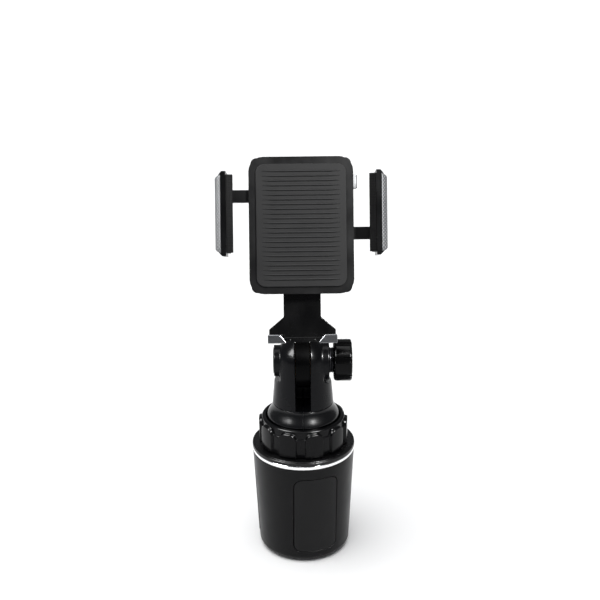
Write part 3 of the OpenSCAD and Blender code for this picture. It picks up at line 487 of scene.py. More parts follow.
TURNED_LINE = 0.0005
PLATE_BLACK = (0.004, 0.004, 0.0045, 1)
plate_black, plate_tree, plate_shader, plate_place = patchy(
    "rim_plate_black", PLATE_BLACK, 0.26, 0.15, 0.05, shine=0.25)
lines = plate_tree.nodes.new("ShaderNodeTexWave")
lines.wave_type = "RINGS"
lines.rings_direction = "Z"
lines.inputs["Scale"].default_value = math.tau / 20 / TURNED_LINE
lines.inputs["Distortion"].default_value = 0
plate_tree.links.new(plate_place.outputs["Object"], lines.inputs["Vector"])
add_bump(plate_tree, plate_shader, lines.outputs["Fac"], 0.00002)
plate_low, plate_high = chrome_high, chrome_high + 2.3
plate_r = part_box("top_plate")[1][0] / MM
skirt_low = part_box("top_plate")[0][2] / MM
HUB_R, SKIRT_R = 19.8, 29.6
plate_profile = [
    (HUB_R, plate_low), (SKIRT_R - 2, plate_low), (SKIRT_R - 1.8, skirt_low), (SKIRT_R, skirt_low),
    (SKIRT_R, plate_low), (plate_r - 0.1, plate_low), (plate_r, plate_low + 0.15),
    (plate_r, plate_high - 0.55), (plate_r - 0.15, plate_high - 0.2), (plate_r - 0.5, plate_high),
    (plate_r - 1.2, plate_high), (plate_r - 1.3, plate_high - 0.2), (plate_r - 1.6, plate_high - 0.2),
    (plate_r - 1.7, plate_high), (HUB_R, plate_high)]
rim_mesh = turned(plate_profile, steps=256)
MARK_TURNS, MARK_R, MARK_RISE = (-43.5, -27.5), 30.0, 0.2
for mark, degrees in enumerate(MARK_TURNS):
    lean = 1 if mark else -1
    outline = [(-0.9, -lean * 1.1), (0, lean * 1.4), (0.9, -lean * 1.1), (0, -lean * 0.5)]
    spin = Matrix.Rotation(math.radians(degrees), 4, "Z")
    add_prism(rim_mesh, *[
        [spin @ (Vector((MARK_R + x, y, plate_high + rise)) * MM) for x, y in outline]
        for rise in (MARK_RISE, -0.1)])
rim_plate = new_object("rim_plate_turned", rim_mesh, plate_black)
finish_piece(rim_plate, "base", "top_plate", edge=0.08, angle=50)


# ---------------------------------------------------------------- Wings
# Three nylon wings slide out to grip the cup holder. Each carries a smooth rubber
# panel that is moulded on and fills its window in the shell, with a fine gap all round.

wing_rubber = moulding("wing_rubber", (0.0042, 0.0042, 0.0047, 1), 0.4, 0.0005, 0.000008,
                       shine=0.15)
for k in (1, 2, 3):
    round_edges(f"wing_{k}", 0.0003, nylon)
    round_edges(f"wing_pad_{k}", 0.0006, wing_rubber)


# ---------------------------------------------------------------- Grip ring
# The ring that is turned by hand to drive the wings. It is moulded in black with ten
# raised, round-topped lobes, and its top edge rolls over into the mouth round the collar.

RING_LOBES = 10
RING_GROOVE_R = 26.6
RING_RISE = 1.45
LOBE_SHARE = 0.66
LOBE_CORNER = 4.0
LOBE_EDGE = 0.45
LEDGE_DEPTH = 0.6
LEDGE_DROP = 5.8
RING_SHOULDER = 2.6
BORE_R, SKIRT_IN_R, MOUTH_R, POCKET_R = 9.07, 19.5, 23.4, 24.5

ring_black = moulding("ring_black", (0.0032, 0.0032, 0.0038, 1), 0.2, 0.0005, 0.000004, shine=0.12)
ring_low, ring_high = (corner[2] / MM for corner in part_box("grip_ring"))
grip_low = plate_high + 0.6
lobe_top = ring_high - 2.1
lobe_low = grip_low + 0.6


def ease(share):
    """Goes smoothly from 0 to 1 as share does."""
    share = min(1.0, max(0.0, share))
    return share * share * (3 - 2 * share)


def lobe_rise(angle, height):
    """How far a lobe stands up at that place, from 0 in a groove to 1 on a lobe."""
    pitch = math.tau / RING_LOBES
    across = abs((angle - wing_turn + pitch / 2) % pitch - pitch / 2) * RING_GROOVE_R
    half = LOBE_SHARE * pitch * RING_GROOVE_R / 2
    inner_x = max(0.0, across - (half - LOBE_CORNER))
    inner_z = max(0.0, height - (lobe_top - LOBE_CORNER))
    outside = math.hypot(inner_x, inner_z) - LOBE_CORNER
    return ease((0.22 - outside) / LOBE_EDGE)


def ring_swell(angle, radius, height):
    """The ring's radius: lobes stand out from its grooved side and fade into its shoulder."""
    if radius < RING_GROOVE_R - 1.4 or height < lobe_low - 0.5:
        return radius
    foot = ease((height - grip_low + 0.2) / 0.8)
    crown = ease((ring_high - 0.6 - height) / 1.6)
    lobe = lobe_rise(angle, height)
    above = ease((height - (ring_high - LEDGE_DROP)) / 0.4)
    ledge = LEDGE_DEPTH * (1 - lobe) * above * crown
    return radius + RING_RISE * lobe * foot * crown - ledge


side = [(RING_GROOVE_R - 0.5, grip_low), (RING_GROOVE_R - 0.1, grip_low + 0.3)]
rows = 44
shoulder_z = ring_high - RING_SHOULDER
for i in range(rows + 1):
    side.append((RING_GROOVE_R, grip_low + 0.5 + (shoulder_z - grip_low - 0.5) * i / rows))
for i in range(1, 15):
    bend = math.radians(90 * i / 14)
    side.append((RING_GROOVE_R - 1.9 * (1 - math.cos(bend)),
                 shoulder_z + RING_SHOULDER * math.sin(bend)))
ring_profile = (
    [(BORE_R, ring_low), (SKIRT_IN_R, ring_low), (SKIRT_IN_R, plate_high + 0.1),
     (24.1, plate_high + 0.1), (24.1, grip_low)]
    + side
    + [(23.9, ring_high), (MOUTH_R, ring_high - 0.5), (MOUTH_R, ring_high - 2),
       (POCKET_R, ring_high - 2.2), (POCKET_R, plate_high + 3), (BORE_R, plate_high + 3)]
)
ring_mesh = turned(ring_profile, steps=720, swell=ring_swell)
ring = new_object("grip_ring_moulding", ring_mesh, ring_black)
finish_piece(ring, "ring", "grip_ring")
round_edges("scroll_cam", 0.0002, nylon)
round_edges("cam_screws", 0.0, zinc)


# ---------------------------------------------------------------- Neck
# Two charcoal mouldings, joined down the middle by two cross screws, make a round neck
# with a slot for the arm. Their cheeks end in soft domes round the clamping bolt.

VOXEL = 0.4
SOFTENING_ROUNDS = 40
BOSS_FACE_X, BOSS_R = 12.2, 13
CHARCOAL = (0.0045, 0.0048, 0.006, 1)
pivot = Vector(joints["arm_tilt"]["pos_m"])
charcoal = moulding("neck_charcoal", CHARCOAL, 0.24, depth=0.000005, fade=0.1, shine=0.1)


def softened(node, name, material, weight):
    """A copy of a CAD part with its edges softened. weight(x, y, z) in mm says how much."""
    mesh = bmesh.new()
    mesh.from_mesh(frame["nodes"][node].data)
    piece = new_object(name, mesh, material)
    remesh = piece.modifiers.new("even", "REMESH")
    remesh.mode = "VOXEL"
    remesh.voxel_size = VOXEL * MM
    remesh.use_smooth_shade = True
    baked(piece)
    group = piece.vertex_groups.new(name="soft")
    for vertex in piece.data.vertices:
        group.add([vertex.index], weight(*(vertex.co / MM)), "REPLACE")
    soften = piece.modifiers.new("soften", "SMOOTH")
    soften.factor = 0.5
    soften.iterations = SOFTENING_ROUNDS
    soften.vertex_group = "soft"
    baked(piece)
    piece.vertex_groups.clear()
    return piece


def neck_softness(x, y, z):
    """The cheeks' tops are well rounded, their bores and the neck's foot only a little."""
    from_pivot = math.hypot(y, z - pivot.z / MM)
    if abs(x) < 1 or z < pivot.z / MM - 24:
        return 0.0
    if abs(x) > BOSS_FACE_X and from_pivot < BOSS_R:
        return 0.06
    top = ease((z - pivot.z / MM + 14) / 14)
    inside = ease((abs(x) - 4.6) / 3)
    return 0.05 + 0.95 * top * ease((from_pivot - 10) / 4) * (0.2 + 0.8 * inside)


for side_name in ("left", "right"):
    half = softened(f"neck_{side_name}", f"neck_half_{side_name}", charcoal, neck_softness)
    finish_piece(half, "neck", f"neck_{side_name}")


# ---------------------------------------------------------------- Collar
# A flared collar in two glossy halves hides the neck's screws. The halves meet in a
# fine seam at the front and the back, and clip under the foot of the neck.

COLLAR_BLACK = (0.003, 0.0032, 0.0042, 1)
COLLAR_CLIP, COLLAR_FLARE, SEAM_DEGREES = 17.65, 3.75, 0.4
gloss = patchy("collar_gloss", COLLAR_BLACK, 0.2, 0.1, 0.03, shine=0.22)[0]

collar_low, collar_high = (corner[2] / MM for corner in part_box("skirt_left"))
collar_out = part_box("skirt_right")[1][0] / MM
flare = []
for i in range(25):
    t = i / 24
    flare.append((collar_out - COLLAR_FLARE * ease(t) ** 0.8,
                  collar_low + 0.6 + (collar_high - collar_low - 0.6) * t))
collar_profile = (
    [(collar_out - 1.6, collar_low), (collar_out - 0.35, collar_low), (collar_out, collar_low + 0.3)]
    + flare
    + [(COLLAR_CLIP, collar_high), (COLLAR_CLIP, collar_low + 4.4),
       (COLLAR_CLIP + 1.6, collar_low + 2)]
)
for start, side_name in ((90, "left"), (-90, "right")):
    half_turn = turned(collar_profile, 120, start + SEAM_DEGREES / 2, 180 - SEAM_DEGREES)
    collar = new_object(f"collar_{side_name}", half_turn, gloss)
    finish_piece(collar, "neck", f"skirt_{side_name}", edge=0.12, angle=50)


# ---------------------------------------------------------------- Bolt and its cap
# A steel bolt crosses the neck and the arm between fibre washers. A charcoal cap closes
# its head on the left, and a turned steel washer lies under the knob on the right.

fibre = moulding("pressed_fibre", (0.16, 0.1, 0.06, 1), 0.75, 0.0007, 0.00004, fade=0.3)
acetal = moulding("white_acetal", (0.72, 0.71, 0.66, 1), 0.35, 0.0005, 0.00001, fade=0.04)
washer_steel = plated_steel("blackened_steel", (0.03, 0.03, 0.033, 1), 0.32)
round_edges("neck_screws", 0.0, zinc)
round_edges("pivot_bolt", 0.0003, zinc)
round_edges("friction_washers", 0.0001, fibre)
round_edges("swivel_washer", 0.0002, acetal)

knob_black = moulding("knob_black", (0.0018, 0.0018, 0.0021, 1), 0.17, 0.0005, 0.000004, shine=0.09)

along_x = Matrix.Translation(pivot) @ Matrix.Rotation(math.radians(90), 4, "Y")
cap_in, cap_out = -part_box("bolt_cap")[1][0] / MM, -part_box("bolt_cap")[0][0] / MM
cap_profile = [(0, cap_in), (8.45, cap_in), (8.45, cap_out - 0.5), (8.1, cap_out - 0.15),
               (7.5, cap_out), (6.4, cap_out), (6.1, cap_out - 0.3), (5.7, cap_out - 0.3),
               (5.4, cap_out - 0.1), (0, cap_out)]
cap_mesh = turned(cap_profile, steps=72)
cap_mesh.transform(Matrix.Translation(pivot) @ Matrix.Rotation(math.radians(-90), 4, "Y"))
cap = new_object("bolt_cap_cover", cap_mesh, knob_black)
finish_piece(cap, "neck", "bolt_cap", edge=0.1)

washer_in, washer_out = (corner[0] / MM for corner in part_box("knob_washer"))
washer_mid = (washer_in + washer_out) / 2
washer_profile = [(3.05, washer_in), (7.6, washer_in), (7.9, washer_in + 0.3), (7.9, washer_mid - 0.3),
                  (7.5, washer_mid - 0.1), (7.5, washer_mid + 0.1), (7.9, washer_mid + 0.3),
                  (7.9, washer_out - 0.3), (7.6, washer_out), (3.05, washer_out)]
washer_mesh = turned(washer_profile, steps=72)
washer_mesh.transform(along_x)
washer = new_object("knob_washer_turned", washer_mesh, washer_steel)
finish_piece(washer, "neck", "knob_washer")


# ---------------------------------------------------------------- Clamping knob
# A black moulded knob with seven broad lobes and narrow flutes, on a brass nut that is
# moulded into it. Its outer face is dished inside a rounded rim.

KNOB_LOBES = 7
KNOB_FLUTE_R = 11.5
KNOB_RISE = 1.5
KNOB_TURN = math.radians(8.5)
KNOB_LOBE_SHARE = 0.7
LOBE_FADE = 2.5
INNER_ROUND, OUTER_ROUND = (1.9, 2.2), (1.4, 1.4)

knob_in, knob_out = (corner[0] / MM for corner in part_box("knob"))


def knob_swell(angle, radius, height):
    """Stands the lobes up from the knob's fluted side."""
    if radius < KNOB_FLUTE_R - LOBE_FADE:
        return radius
    pitch = math.tau / KNOB_LOBES
    across = abs((angle + KNOB_TURN) % pitch - pitch / 2) * KNOB_FLUTE_R
    half = KNOB_LOBE_SHARE * pitch * KNOB_FLUTE_R / 2
    lobe = ease((half - across + 0.3) / 0.6)
    return radius + KNOB_RISE * lobe * ease((radius - KNOB_FLUTE_R + LOBE_FADE) / LOBE_FADE)


knob_side = []
for i in range(9):
    bend = math.radians(90 * i / 8)
    knob_side.append((KNOB_FLUTE_R - INNER_ROUND[0] * (1 - math.sin(bend)),
                      knob_in + INNER_ROUND[1] * (1 - math.cos(bend))))
for i in range(1, 7):
    straight = knob_out - knob_in - INNER_ROUND[1] - OUTER_ROUND[1]
    knob_side.append((KNOB_FLUTE_R, knob_in + INNER_ROUND[1] + straight * i / 7))
for i in range(9):
    bend = math.radians(90 * i / 8)
    knob_side.append((KNOB_FLUTE_R - OUTER_ROUND[0] * (1 - math.cos(bend)),
                      knob_out - OUTER_ROUND[1] * (1 - math.sin(bend))))
knob_profile = (
    [(3.3, knob_in), (8.6, knob_in)] + knob_side
    + [(8.6, knob_out), (8.2, knob_out - 0.25), (7.7, knob_out - 0.6), (0, knob_out - 0.8),
       (0, knob_out - 3), (3.3, knob_out - 3)]
)
knob_mesh = turned(knob_profile, steps=420, swell=knob_swell)
knob_mesh.transform(along_x)
knob = new_object("knob_moulding", knob_mesh, knob_black)
finish_piece(knob, "clamp_knob", "knob")

brass = plated_steel("brass", (0.78, 0.6, 0.28, 1), 0.3)
round_edges("knob_nut", 0.0002, brass)


# ---------------------------------------------------------------- Arm and ball
# A flat black arm with a round knuckle rises out of the neck. The polished steel ball
# is pressed into the boss at its top and held by two acetal liners.

# The arm is black, and its colour is set darker, with less shine, than the other mouldings: painted
# shade of the slot it sits in.
arm_black_and_slot_shade = moulding("arm_black_and_slot_shade", (0.001, 0.001, 0.0012, 1), 0.3, 0.0005, 0.000008, shine=0.04)
ball_steel = plated_steel("polished_ball", (0.7, 0.7, 0.72, 1), 0.14)
round_edges("arm", 0.0009, arm_black_and_slot_shade, steps=4)
round_edges("ball_stud", 0.0, ball_steel)
round_edges("liner_front", 0.0001, acetal)
round_edges("liner_rear", 0.0001, acetal)


# ---------------------------------------------------------------- Socket and lock nut
# The socket is screwed to the back of the cradle. A lobed ring nut on it clamps the
# ball, and has twelve finger lobes on its side and a coned back.

case_black = moulding("case_black", (0.0045, 0.0045, 0.005, 1), 0.34, 0.0005, 0.000008, shine=0.15)
round_edges("socket", 0.0003, case_black)
round_edges("socket_screws", 0.0, zinc)

NUT_LOBES = 12
NUT_FLUTE_R = 16.3
NUT_RISE = 1.15
NUT_LOBE_SHARE = 0.66
NUT_LOW, NUT_HIGH, NUT_STRAIGHT = -8.1, 5.9, 10.8
SEAT_TOP, SEAT_LOW = math.radians(38.6), math.radians(22.4)
SOCKET_R = 13.07
BALL_SEAT_R = 10.9
ball = Vector(joints["cradle_roll"]["pos_m"])
backward = Vector(joints["cradle_roll"]["axis"])
upward = Vector(joints["ball_yaw"]["axis"])
sideways = Vector((1, 0, 0))


def nut_swell(angle, radius, height):
    """Stands the lock nut's lobes up from its side."""
    if radius < NUT_FLUTE_R - 1.2:
        return radius
    pitch = math.tau / NUT_LOBES
    across = abs(angle % pitch - pitch / 2) * NUT_FLUTE_R
    half = NUT_LOBE_SHARE * pitch * NUT_FLUTE_R / 2
    ends = ease((height - NUT_LOW) / 1.2) * ease((4.6 - height) / 1.6)
    return radius + NUT_RISE * ease((half - across + 0.5) / 1.0) * ends


nut_profile = [(SOCKET_R, NUT_LOW), (NUT_FLUTE_R - 0.6, NUT_LOW),
               (NUT_FLUTE_R - 0.15, NUT_LOW + 0.25)]
nut_profile += [(NUT_FLUTE_R, NUT_LOW + 0.6 + NUT_STRAIGHT * i / 12) for i in range(13)]
nut_profile += [(NUT_FLUTE_R - 0.3, 4.2), (NUT_FLUTE_R - 0.7, 5.1), (NUT_FLUTE_R - 1.4, 5.7),
                (NUT_FLUTE_R - 2.2, NUT_HIGH)]
for i in range(4):
    bend = SEAT_TOP + (SEAT_LOW - SEAT_TOP) * i / 3
    nut_profile.append((BALL_SEAT_R * math.cos(bend), BALL_SEAT_R * math.sin(bend)))
nut_profile.append((SOCKET_R, BALL_SEAT_R * math.sin(SEAT_LOW)))
nut_place = Matrix.Translation(ball) @ backward.to_track_quat("Z", "Y").to_matrix().to_4x4()
nut_mesh = turned(nut_profile, steps=288, swell=nut_swell)
nut_mesh.transform(nut_place)
nut = new_object("lock_nut_moulding", nut_mesh, knob_black)
finish_piece(nut, "locking_nut", "lock_nut", edge=0.1, angle=40)


# ---------------------------------------------------------------- Cradle case
# Two black covers close on a seam round the middle of the case, held by four cross-head
# screws in wells at the back. A ribbed rubber pad is glued to the front.

BALL_BEHIND_FACE = 26.6
BALL_BELOW_MIDDLE = 6.0
turn_head = Matrix((sideways, backward, upward)).transposed().to_4x4()
cradle = (Matrix.Translation(ball) @ turn_head
          @ Matrix.Translation(Vector((0, -BALL_BEHIND_FACE, BALL_BELOW_MIDDLE)) * MM))
CASE_MIDDLE = -6.0
CASE_SCREWS = [(x, z) for x in (-24.5, 24.5) for z in (-40, 28)]
SCREW_SEAT = 14.3


def at_cradle(x, y, z):
    """A point of the cradle's own frame, in millimetres, as one of the whole frame in metres."""
    return cradle @ (Vector((x, y, z)) * MM)


for node in ("front_cover", "back_cover"):
    round_edges(node, 0.0007, case_black, steps=4)

screw_black = moulding("blackened_screw", (0.02, 0.02, 0.021, 1), 0.3, grain=0.0002, depth=0.000004)
screw = screw_shape(2.4, 1.5, 1.2, 9.0)
places = [at_cradle(x, SCREW_SEAT, z) for x, z in CASE_SCREWS]
case_screws = set_copies("case_screw_set", screw, places, backward, screw_black)
finish_piece(case_screws, "cradle", "case_screws")

PAD_WIDTH, PAD_HEIGHT, PAD_THICK, PAD_CORNER = 50.0, 68.0, 1.5, 5.0
RIB_PITCH, RIB_WIDTH, RIB_RISE = 2.6, 1.2, 0.45
RIB_STRAIGHT = 0.79


def plate(width, height, corner, low, high, middle=0.0):
    """A plate with round corners that faces along Y, as a bmesh in millimetres."""
    outline = []
    for turn, (sx, sz) in enumerate(((1, 1), (-1, 1), (-1, -1), (1, -1))):
        for i in range(9):
            bend = math.radians(90 * turn + 90 * i / 8)
            outline.append((sx * (width / 2 - corner) + corner * math.cos(bend),
                            middle + sz * (height / 2 - corner) + corner * math.sin(bend)))
    mesh = bmesh.new()
    add_prism(mesh, [(x, low, z) for x, z in outline], [(x, high, z) for x, z in outline])
    return mesh


def ribbed_tree():
    """Adds a row of ribs along one axis to a plate: Count ribs, Pitch apart, from First on."""
    tree, given = new_tree("row_of_ribs", (
        ("Plate", "Geometry"), ("Rib", "Object"), ("Count", "Int"), ("First", "Vector"),
        ("Pitch", "Vector"), ("Finish", "Material")))
    row = tree.nodes.new("GeometryNodeMeshLine")
    row.mode = "OFFSET"
    tree.links.new(given["Count"], row.inputs["Count"])
    tree.links.new(given["First"], row.inputs["Start Location"])
    tree.links.new(given["Pitch"], row.inputs["Offset"])
    placing = copies_on(tree, row.outputs["Mesh"], given["Rib"])
    both = tree.nodes.new("GeometryNodeJoinGeometry")
    tree.links.new(given["Plate"], both.inputs["Geometry"])
    tree.links.new(placing.outputs["Instances"], both.inputs["Geometry"])
    return end_tree(tree, given, both.outputs["Geometry"])


row_of_ribs = ribbed_tree()


def rib(length, width, rise):
    """A half-round rib along X with round ends, that stands up along -Y, in metres."""
    mesh = bmesh.new()
    steps, along = 8, 10
    half, end = length / 2, width / 2
    rows = []
    for j in range(along + 1):
        t = -1 + 2 * j / along
        if abs(t) > RIB_STRAIGHT:
            x = math.copysign(half - end + end * math.sin(abs(t) * math.pi / 2), t)
        else:
            x = t / RIB_STRAIGHT * (half - end)
        past = max(0.0, (abs(x) - half + end) / end)
        shrink = math.sqrt(max(0.0, 1 - past ** 2))
        row = []
        for i in range(steps + 1):
            bend = math.pi * i / steps
            spot = (x, -rise * math.sin(bend) * shrink, end * math.cos(bend) * shrink)
            row.append(mesh.verts.new(Vector(spot) * MM))
        rows.append(row)
    for near, far in zip(rows, rows[1:]):
        for i in range(steps):
            mesh.faces.new((near[i], near[i + 1], far[i + 1], far[i]))
        mesh.faces.new((near[0], far[0], far[-1], near[-1]))
    return new_object("rib", mesh)


soft_rubber = moulding("soft_rubber", (0.005, 0.005, 0.0055, 1), 0.55, 0.0005, 0.000015, shine=0.12)
pad_mesh = plate(PAD_WIDTH, PAD_HEIGHT, PAD_CORNER, RIB_RISE, PAD_THICK, CASE_MIDDLE)
bmesh.ops.scale(pad_mesh, vec=(MM, MM, MM), verts=pad_mesh.verts)
pad = new_object("front_pad_ribbed", pad_mesh, soft_rubber)
bevel_edges(pad, 0.3 * MM, 3, 50)
ribs = pad.modifiers.new("ribs", "NODES")
ribs.node_group = row_of_ribs
rib_part = rib(PAD_WIDTH - 7, RIB_WIDTH, RIB_RISE)
rib_count = int((PAD_HEIGHT - 8) / RIB_PITCH) + 1
first = CASE_MIDDLE - RIB_PITCH * (rib_count - 1) / 2
set_inputs(ribs, {"Rib": rib_part, "Count": rib_count, "First": (0, RIB_RISE * MM, first * MM),
                  "Pitch": (0, 0, RIB_PITCH * MM), "Finish": soft_rubber})
baked(pad, soft_rubber)
bpy.data.objects.remove(rib_part)
pad.data.transform(cradle)
finish_piece(pad, "cradle", "front_pad")


# ---------------------------------------------------------------- Gear, brake and button
# Inside the case a gear joins the two racks, so that both grips move alike. A sprung
# shoe brakes its drum, and the button at the side lifts the shoe.

round_edges("pinion", 0.0001, acetal)
round_edges("pinion_spring", 0.00005, zinc)
round_edges("brake_shoe", 0.0002, fibre)
round_edges("brake_spring", 0.0, zinc)

silver = patchy("silver_grey", (0.3, 0.305, 0.31, 1), 0.36, 0.08, 0.06, metallic=0.55)[0]
round_edges("release_button", 0.0003, silver)
round_edges("foot_guide", 0.0003, nylon)


# ---------------------------------------------------------------- Grips
# Each grip is a black moulding on the end of a rack, with a knurled silver-grey band
# on its outside and a dotted rubber pad with a front lip on its inside.

BAND_ROOT = [(43.7, -10.95), (44.85, -9.65), (44.9, -9.2), (44.9, 5.6)]
BAND_SKIN = [(43.7, -10.95), (43.85, -11.2), (44.5, -10.75), (45.9, -9.3), (46.7, -7.2),
             (46.72, -1.9), (46.7, 3.4), (46.2, 5.1), (44.9, 5.6)]
BAND_HALF, BAND_RISE, BAND_END_SLOPE = 21.0, 1.8, 1.1
KNURL_PITCH, KNURL_RISE = 2.0, 0.4
PAD_X, PAD_LOW_Y, PAD_HIGH_Y, PAD_HALF = 39.05, -7.3, 2.7, 21.2
GROOVE_PITCH = 4.0
DOT_R, DOT_RISE = 0.42, 0.26
LIP_DOTS, LIP_PITCH = 29, 1.42
LIP_START, LIP_RUN = (37.05, -9.8), (3.75, -0.9)

grip_black = moulding("grip_black", (0.002, 0.002, 0.0024, 1), 0.26, depth=0.000004, shine=0.12)
pad_black = moulding("grip_pad_rubber", (0.0012, 0.0012, 0.0015, 1), 0.5, depth=0.000015, shine=0.04)

# The band's knurl valleys are painted near black and its tops pale grey: painted shade in the valleys,
# over the band's own silver-grey.
KNURL_SHADED_VALLEY, KNURL_TOP = (0.035, 0.036, 0.038, 1), (0.42, 0.425, 0.435, 1)
band_silver, band_tree, band_shader = patchy(
    "band_silver", KNURL_TOP, 0.42, 0.08, 0.06, metallic=0.15, shine=0.2)[:3]
valley_shade_source = band_tree.nodes.new("ShaderNodeAttribute")
valley_shade_source.attribute_name = "knurl"
painted_valley_shade = band_tree.nodes.new("ShaderNodeMix")
painted_valley_shade.data_type = "RGBA"
painted_valley_shade.inputs["A"].default_value = KNURL_SHADED_VALLEY
band_tree.links.new(valley_shade_source.outputs["Fac"], painted_valley_shade.inputs["Factor"])
band_tree.links.new(band_shader.inputs["Base Color"].links[0].from_socket, painted_valley_shade.inputs["B"])
band_tree.links.new(painted_valley_shade.outputs["Result"], band_shader.inputs["Base Color"])


def knurl_tree():
    """Raises a diamond knurl on a skin, where its points say how far across and along they are."""
    tree, given = new_tree("diamond_knurl", (
        ("Skin", "Geometry"), ("Pitch", "Float"), ("Rise", "Float"), ("Finish", "Material")))
    nodes, links = tree.nodes, tree.links

    def measure(name):
        """A number that each point of the skin carries."""
        node = nodes.new("GeometryNodeInputNamedAttribute")
        node.data_type = "FLOAT"
        node.inputs["Name"].default_value = name
        return node.outputs["Attribute"]

    def sum_of(operation, first, second=None):
        """One step of arithmetic on sockets or numbers."""
        node = nodes.new("ShaderNodeMath")
        node.operation = operation
        for socket, value in zip(node.inputs, (first, second)):
            if isinstance(value, (int, float)):
                socket.default_value = value
            elif value is not None:
                links.new(value, socket)
        return node.outputs["Value"]

    slopes = []
    for operation in ("ADD", "SUBTRACT"):
        along = sum_of(operation, measure("along"), measure("across"))
        phase = sum_of("FRACT", sum_of("DIVIDE", along, given["Pitch"]))
        slopes.append(sum_of("ABSOLUTE", sum_of("SUBTRACT", sum_of("MULTIPLY", phase, 2.0), 1.0)))
    low = sum_of("MINIMUM", sum_of("SUBTRACT", 1.0, slopes[0]), sum_of("SUBTRACT", 1.0, slopes[1]))
    flat = sum_of("MINIMUM", sum_of("MULTIPLY", low, 1.3), 1.0)
    rise = sum_of("MULTIPLY", sum_of("MULTIPLY", flat, given["Rise"]), measure("strength"))
    # The knurl's height is kept on the skin, named knurl, for the painted shade in the band's valleys.
    keep = nodes.new("GeometryNodeStoreNamedAttribute")
    keep.data_type = "FLOAT"
    keep.domain = "POINT"
    keep.inputs["Name"].default_value = "knurl"
    links.new(flat, keep.inputs["Value"])
    normal = nodes.new("GeometryNodeInputNormal")
    lift = nodes.new("ShaderNodeVectorMath")
    lift.operation = "SCALE"
    links.new(normal.outputs["Normal"], lift.inputs[0])
    links.new(rise, lift.inputs["Scale"])
    move = nodes.new("GeometryNodeSetPosition")
    links.new(given["Skin"], keep.inputs["Geometry"])
    links.new(keep.outputs["Geometry"], move.inputs["Geometry"])
    links.new(lift.outputs["Vector"], move.inputs["Offset"])
    return end_tree(tree, given, move.outputs["Geometry"])


diamond_knurl = knurl_tree()


def along_path(points, steps):
    """Points spaced evenly along a path of (x, y) points, its corners rounded first."""
    for _ in range(2):
        cut = [points[0]]
        for (x0, y0), (x1, y1) in zip(points, points[1:]):
            cut += [(0.75 * x0 + 0.25 * x1, 0.75 * y0 + 0.25 * y1),
                    (0.25 * x0 + 0.75 * x1, 0.25 * y0 + 0.75 * y1)]
        points = cut + [points[-1]]
    lengths = [math.dist(near, far) for near, far in zip(points, points[1:])]
    spaced, k, passed = [], 0, 0.0
    for i in range(steps + 1):
        reach = sum(lengths) * i / steps
        while k < len(lengths) - 1 and passed + lengths[k] < reach:
            passed += lengths[k]
            k += 1
        share = min(1.0, (reach - passed) / lengths[k])
        (x0, y0), (x1, y1) = points[k], points[k + 1]
        spaced.append((x0 + (x1 - x0) * share, y0 + (y1 - y0) * share, reach))
    return spaced


def knurled_band(name, side):
    """The band of the grip on that side, -1 or 1: a crowned skin that turns onto the front."""
    across_steps, along_steps = 72, 172
    root, skin = along_path(BAND_ROOT, across_steps), along_path(BAND_SKIN, across_steps)
    mesh = bmesh.new()
    layers = {key: mesh.verts.layers.float.new(key) for key in ("across", "along", "strength")}
    rows = []
    for j in range(along_steps + 1):
        z = BAND_HALF * (2 * j / along_steps - 1)
        full = min(1.0, (BAND_HALF - abs(z)) * BAND_END_SLOPE / BAND_RISE)
        row = []
        for (root_x, root_y, _), (skin_x, skin_y, reach) in zip(root, skin):
            x, y = root_x + (skin_x - root_x) * full, root_y + (skin_y - root_y) * full
            stand = math.dist((x, y), (root_x, root_y))
            vertex = mesh.verts.new(Vector((side * x, y, z)) * MM)
            vertex[layers["across"]] = reach * MM
            vertex[layers["along"]] = z * MM
            vertex[layers["strength"]] = ease((stand - 0.15) / 0.6)
            row.append(vertex)
        rows.append(row)
    for near, far in zip(rows, rows[1:]):
        for i in range(across_steps):
            mesh.faces.new((near[i], near[i + 1], far[i + 1], far[i]))
    rim = ([row[0] for row in rows] + rows[-1][1:] + [row[-1] for row in reversed(rows[:-1])]
           + list(reversed(rows[0][1:-1])))
    mesh.faces.new(rim)
    band = new_object(name, mesh, band_silver)
    knurl = band.modifiers.new("knurl", "NODES")
    knurl.node_group = diamond_knurl
    set_inputs(knurl, {"Pitch": KNURL_PITCH * MM, "Rise": KNURL_RISE * MM, "Finish": band_silver})
    baked(band, band_silver)
    for key in layers:
        band.data.attributes.remove(band.data.attributes[key])
    band.data.transform(cradle)
    return band


def rubber_dot():
    """A low round dot of rubber that stands on z = 0, in metres."""
    profile = [(0, -0.1), (DOT_R, -0.1), (DOT_R, 0), (DOT_R * 0.75, DOT_RISE * 0.7), (0, DOT_RISE)]
    return new_object("dot", turned(profile, steps=8))


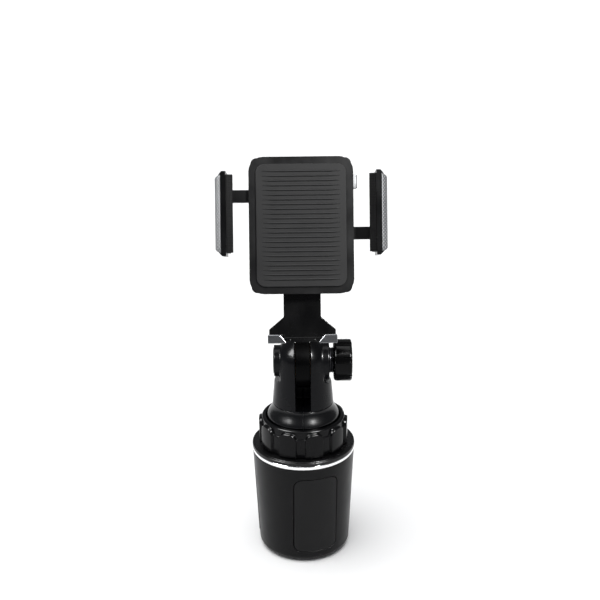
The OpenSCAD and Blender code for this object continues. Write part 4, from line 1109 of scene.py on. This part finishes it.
def dotted_pad(name, side):
    """The CAD pad of that side with rows of dots between its grooves and on its lip."""
    places = []
    lands = int((2 * PAD_HALF - 1) / GROOVE_PITCH)
    for k in range(lands):
        for lift in (-0.8, 0.8):
            z = -PAD_HALF + 2 + GROOVE_PITCH * k + lift
            for i in range(8):
                y = PAD_LOW_Y + 0.7 + (PAD_HIGH_Y - PAD_LOW_Y - 1.4) * i / 7
                places.append(at_cradle(side * PAD_X, y, z))
    inside = cradle.to_3x3() @ Vector((-side, 0, 0))
    dots = [set_copies("pad_dots", rubber_dot(), places, inside, pad_black)]
    lip_slope = Vector((-side * 0.23, -0.97, 0))
    places = []
    for k in range(LIP_DOTS):
        z = -PAD_HALF + 1.4 + LIP_PITCH * k
        for t in (0.2, 0.5, 0.8):
            x, y = (start + run * t for start, run in zip(LIP_START, LIP_RUN))
            places.append(at_cradle(side * x, y, z))
    outward = cradle.to_3x3() @ lip_slope
    dots.append(set_copies("lip_dots", rubber_dot(), places, outward, pad_black))
    mesh = bmesh.new()
    mesh.from_mesh(frame["nodes"][name].data)
    bmesh.ops.remove_doubles(mesh, verts=mesh.verts, dist=MERGE_WITHIN)
    pad = new_object(f"{name}_dotted", mesh, pad_black)
    bevel_edges(pad, 0.25 * MM, 2, SHARP_ANGLE)
    baked(pad)
    whole = bmesh.new()
    for piece in [pad] + dots:
        whole.from_mesh(piece.data)
    whole.to_mesh(pad.data)
    whole.free()
    for piece in dots:
        bpy.data.objects.remove(piece)
    shade_smooth(pad.data)
    return pad


for side, side_name in ((-1, "left"), (1, "right")):
    body = f"{side_name}_grip"
    round_edges(f"slider_{side_name}", 0.0003, case_black)
    round_edges(f"grip_{side_name}", 0.0005, grip_black)
    round_edges(f"grip_screws_{side_name}", 0.0, screw_black)
    band = knurled_band(f"grip_band_{side_name}", side)
    finish_piece(band, body, f"grip_trim_{side_name}", edge=0.15, angle=60)
    pad = dotted_pad(f"grip_pad_{side_name}", side)
    finish_piece(pad, body, f"grip_pad_{side_name}")


# ---------------------------------------------------------------- Foot
# A black bracket slides in the back of the case and turns forward under the phone. Its
# two hooks are tipped in satin grey, with a slanted inner edge, and carry rubber cushions.

TIP_OUTER, TIP_TOP_IN, TIP_LOW_IN = 18.8, 12.4, 8.9
TIP_FRONT, TIP_BACK = -13.5, -12.3
TIP_LOW, TIP_HIGH = -70.5, -65.8

TIP_GREY = (0.16, 0.163, 0.17, 1)
tip_grey = patchy("tip_grey", TIP_GREY, 0.22, 0.1, 0.05, metallic=0.9)[0]
round_edges("foot_bracket", 0.0004, grip_black)
round_edges("foot_cushions", 0.0003, soft_rubber)

tips = bmesh.new()
for side in (-1, 1):
    outline = [(TIP_OUTER, TIP_LOW), (TIP_OUTER, TIP_HIGH), (TIP_TOP_IN, TIP_HIGH),
               (TIP_TOP_IN - 0.6, TIP_HIGH - 0.5), (TIP_LOW_IN, TIP_LOW + 0.9), (TIP_LOW_IN, TIP_LOW)]
    add_prism(tips, *[[at_cradle(side * x, y, z) for x, z in outline]
                      for y in (TIP_FRONT, TIP_BACK)])
foot_tips = new_object("foot_tip_pair", tips, tip_grey)
finish_piece(foot_tips, "foot", "foot_tips", edge=0.55, steps=4)
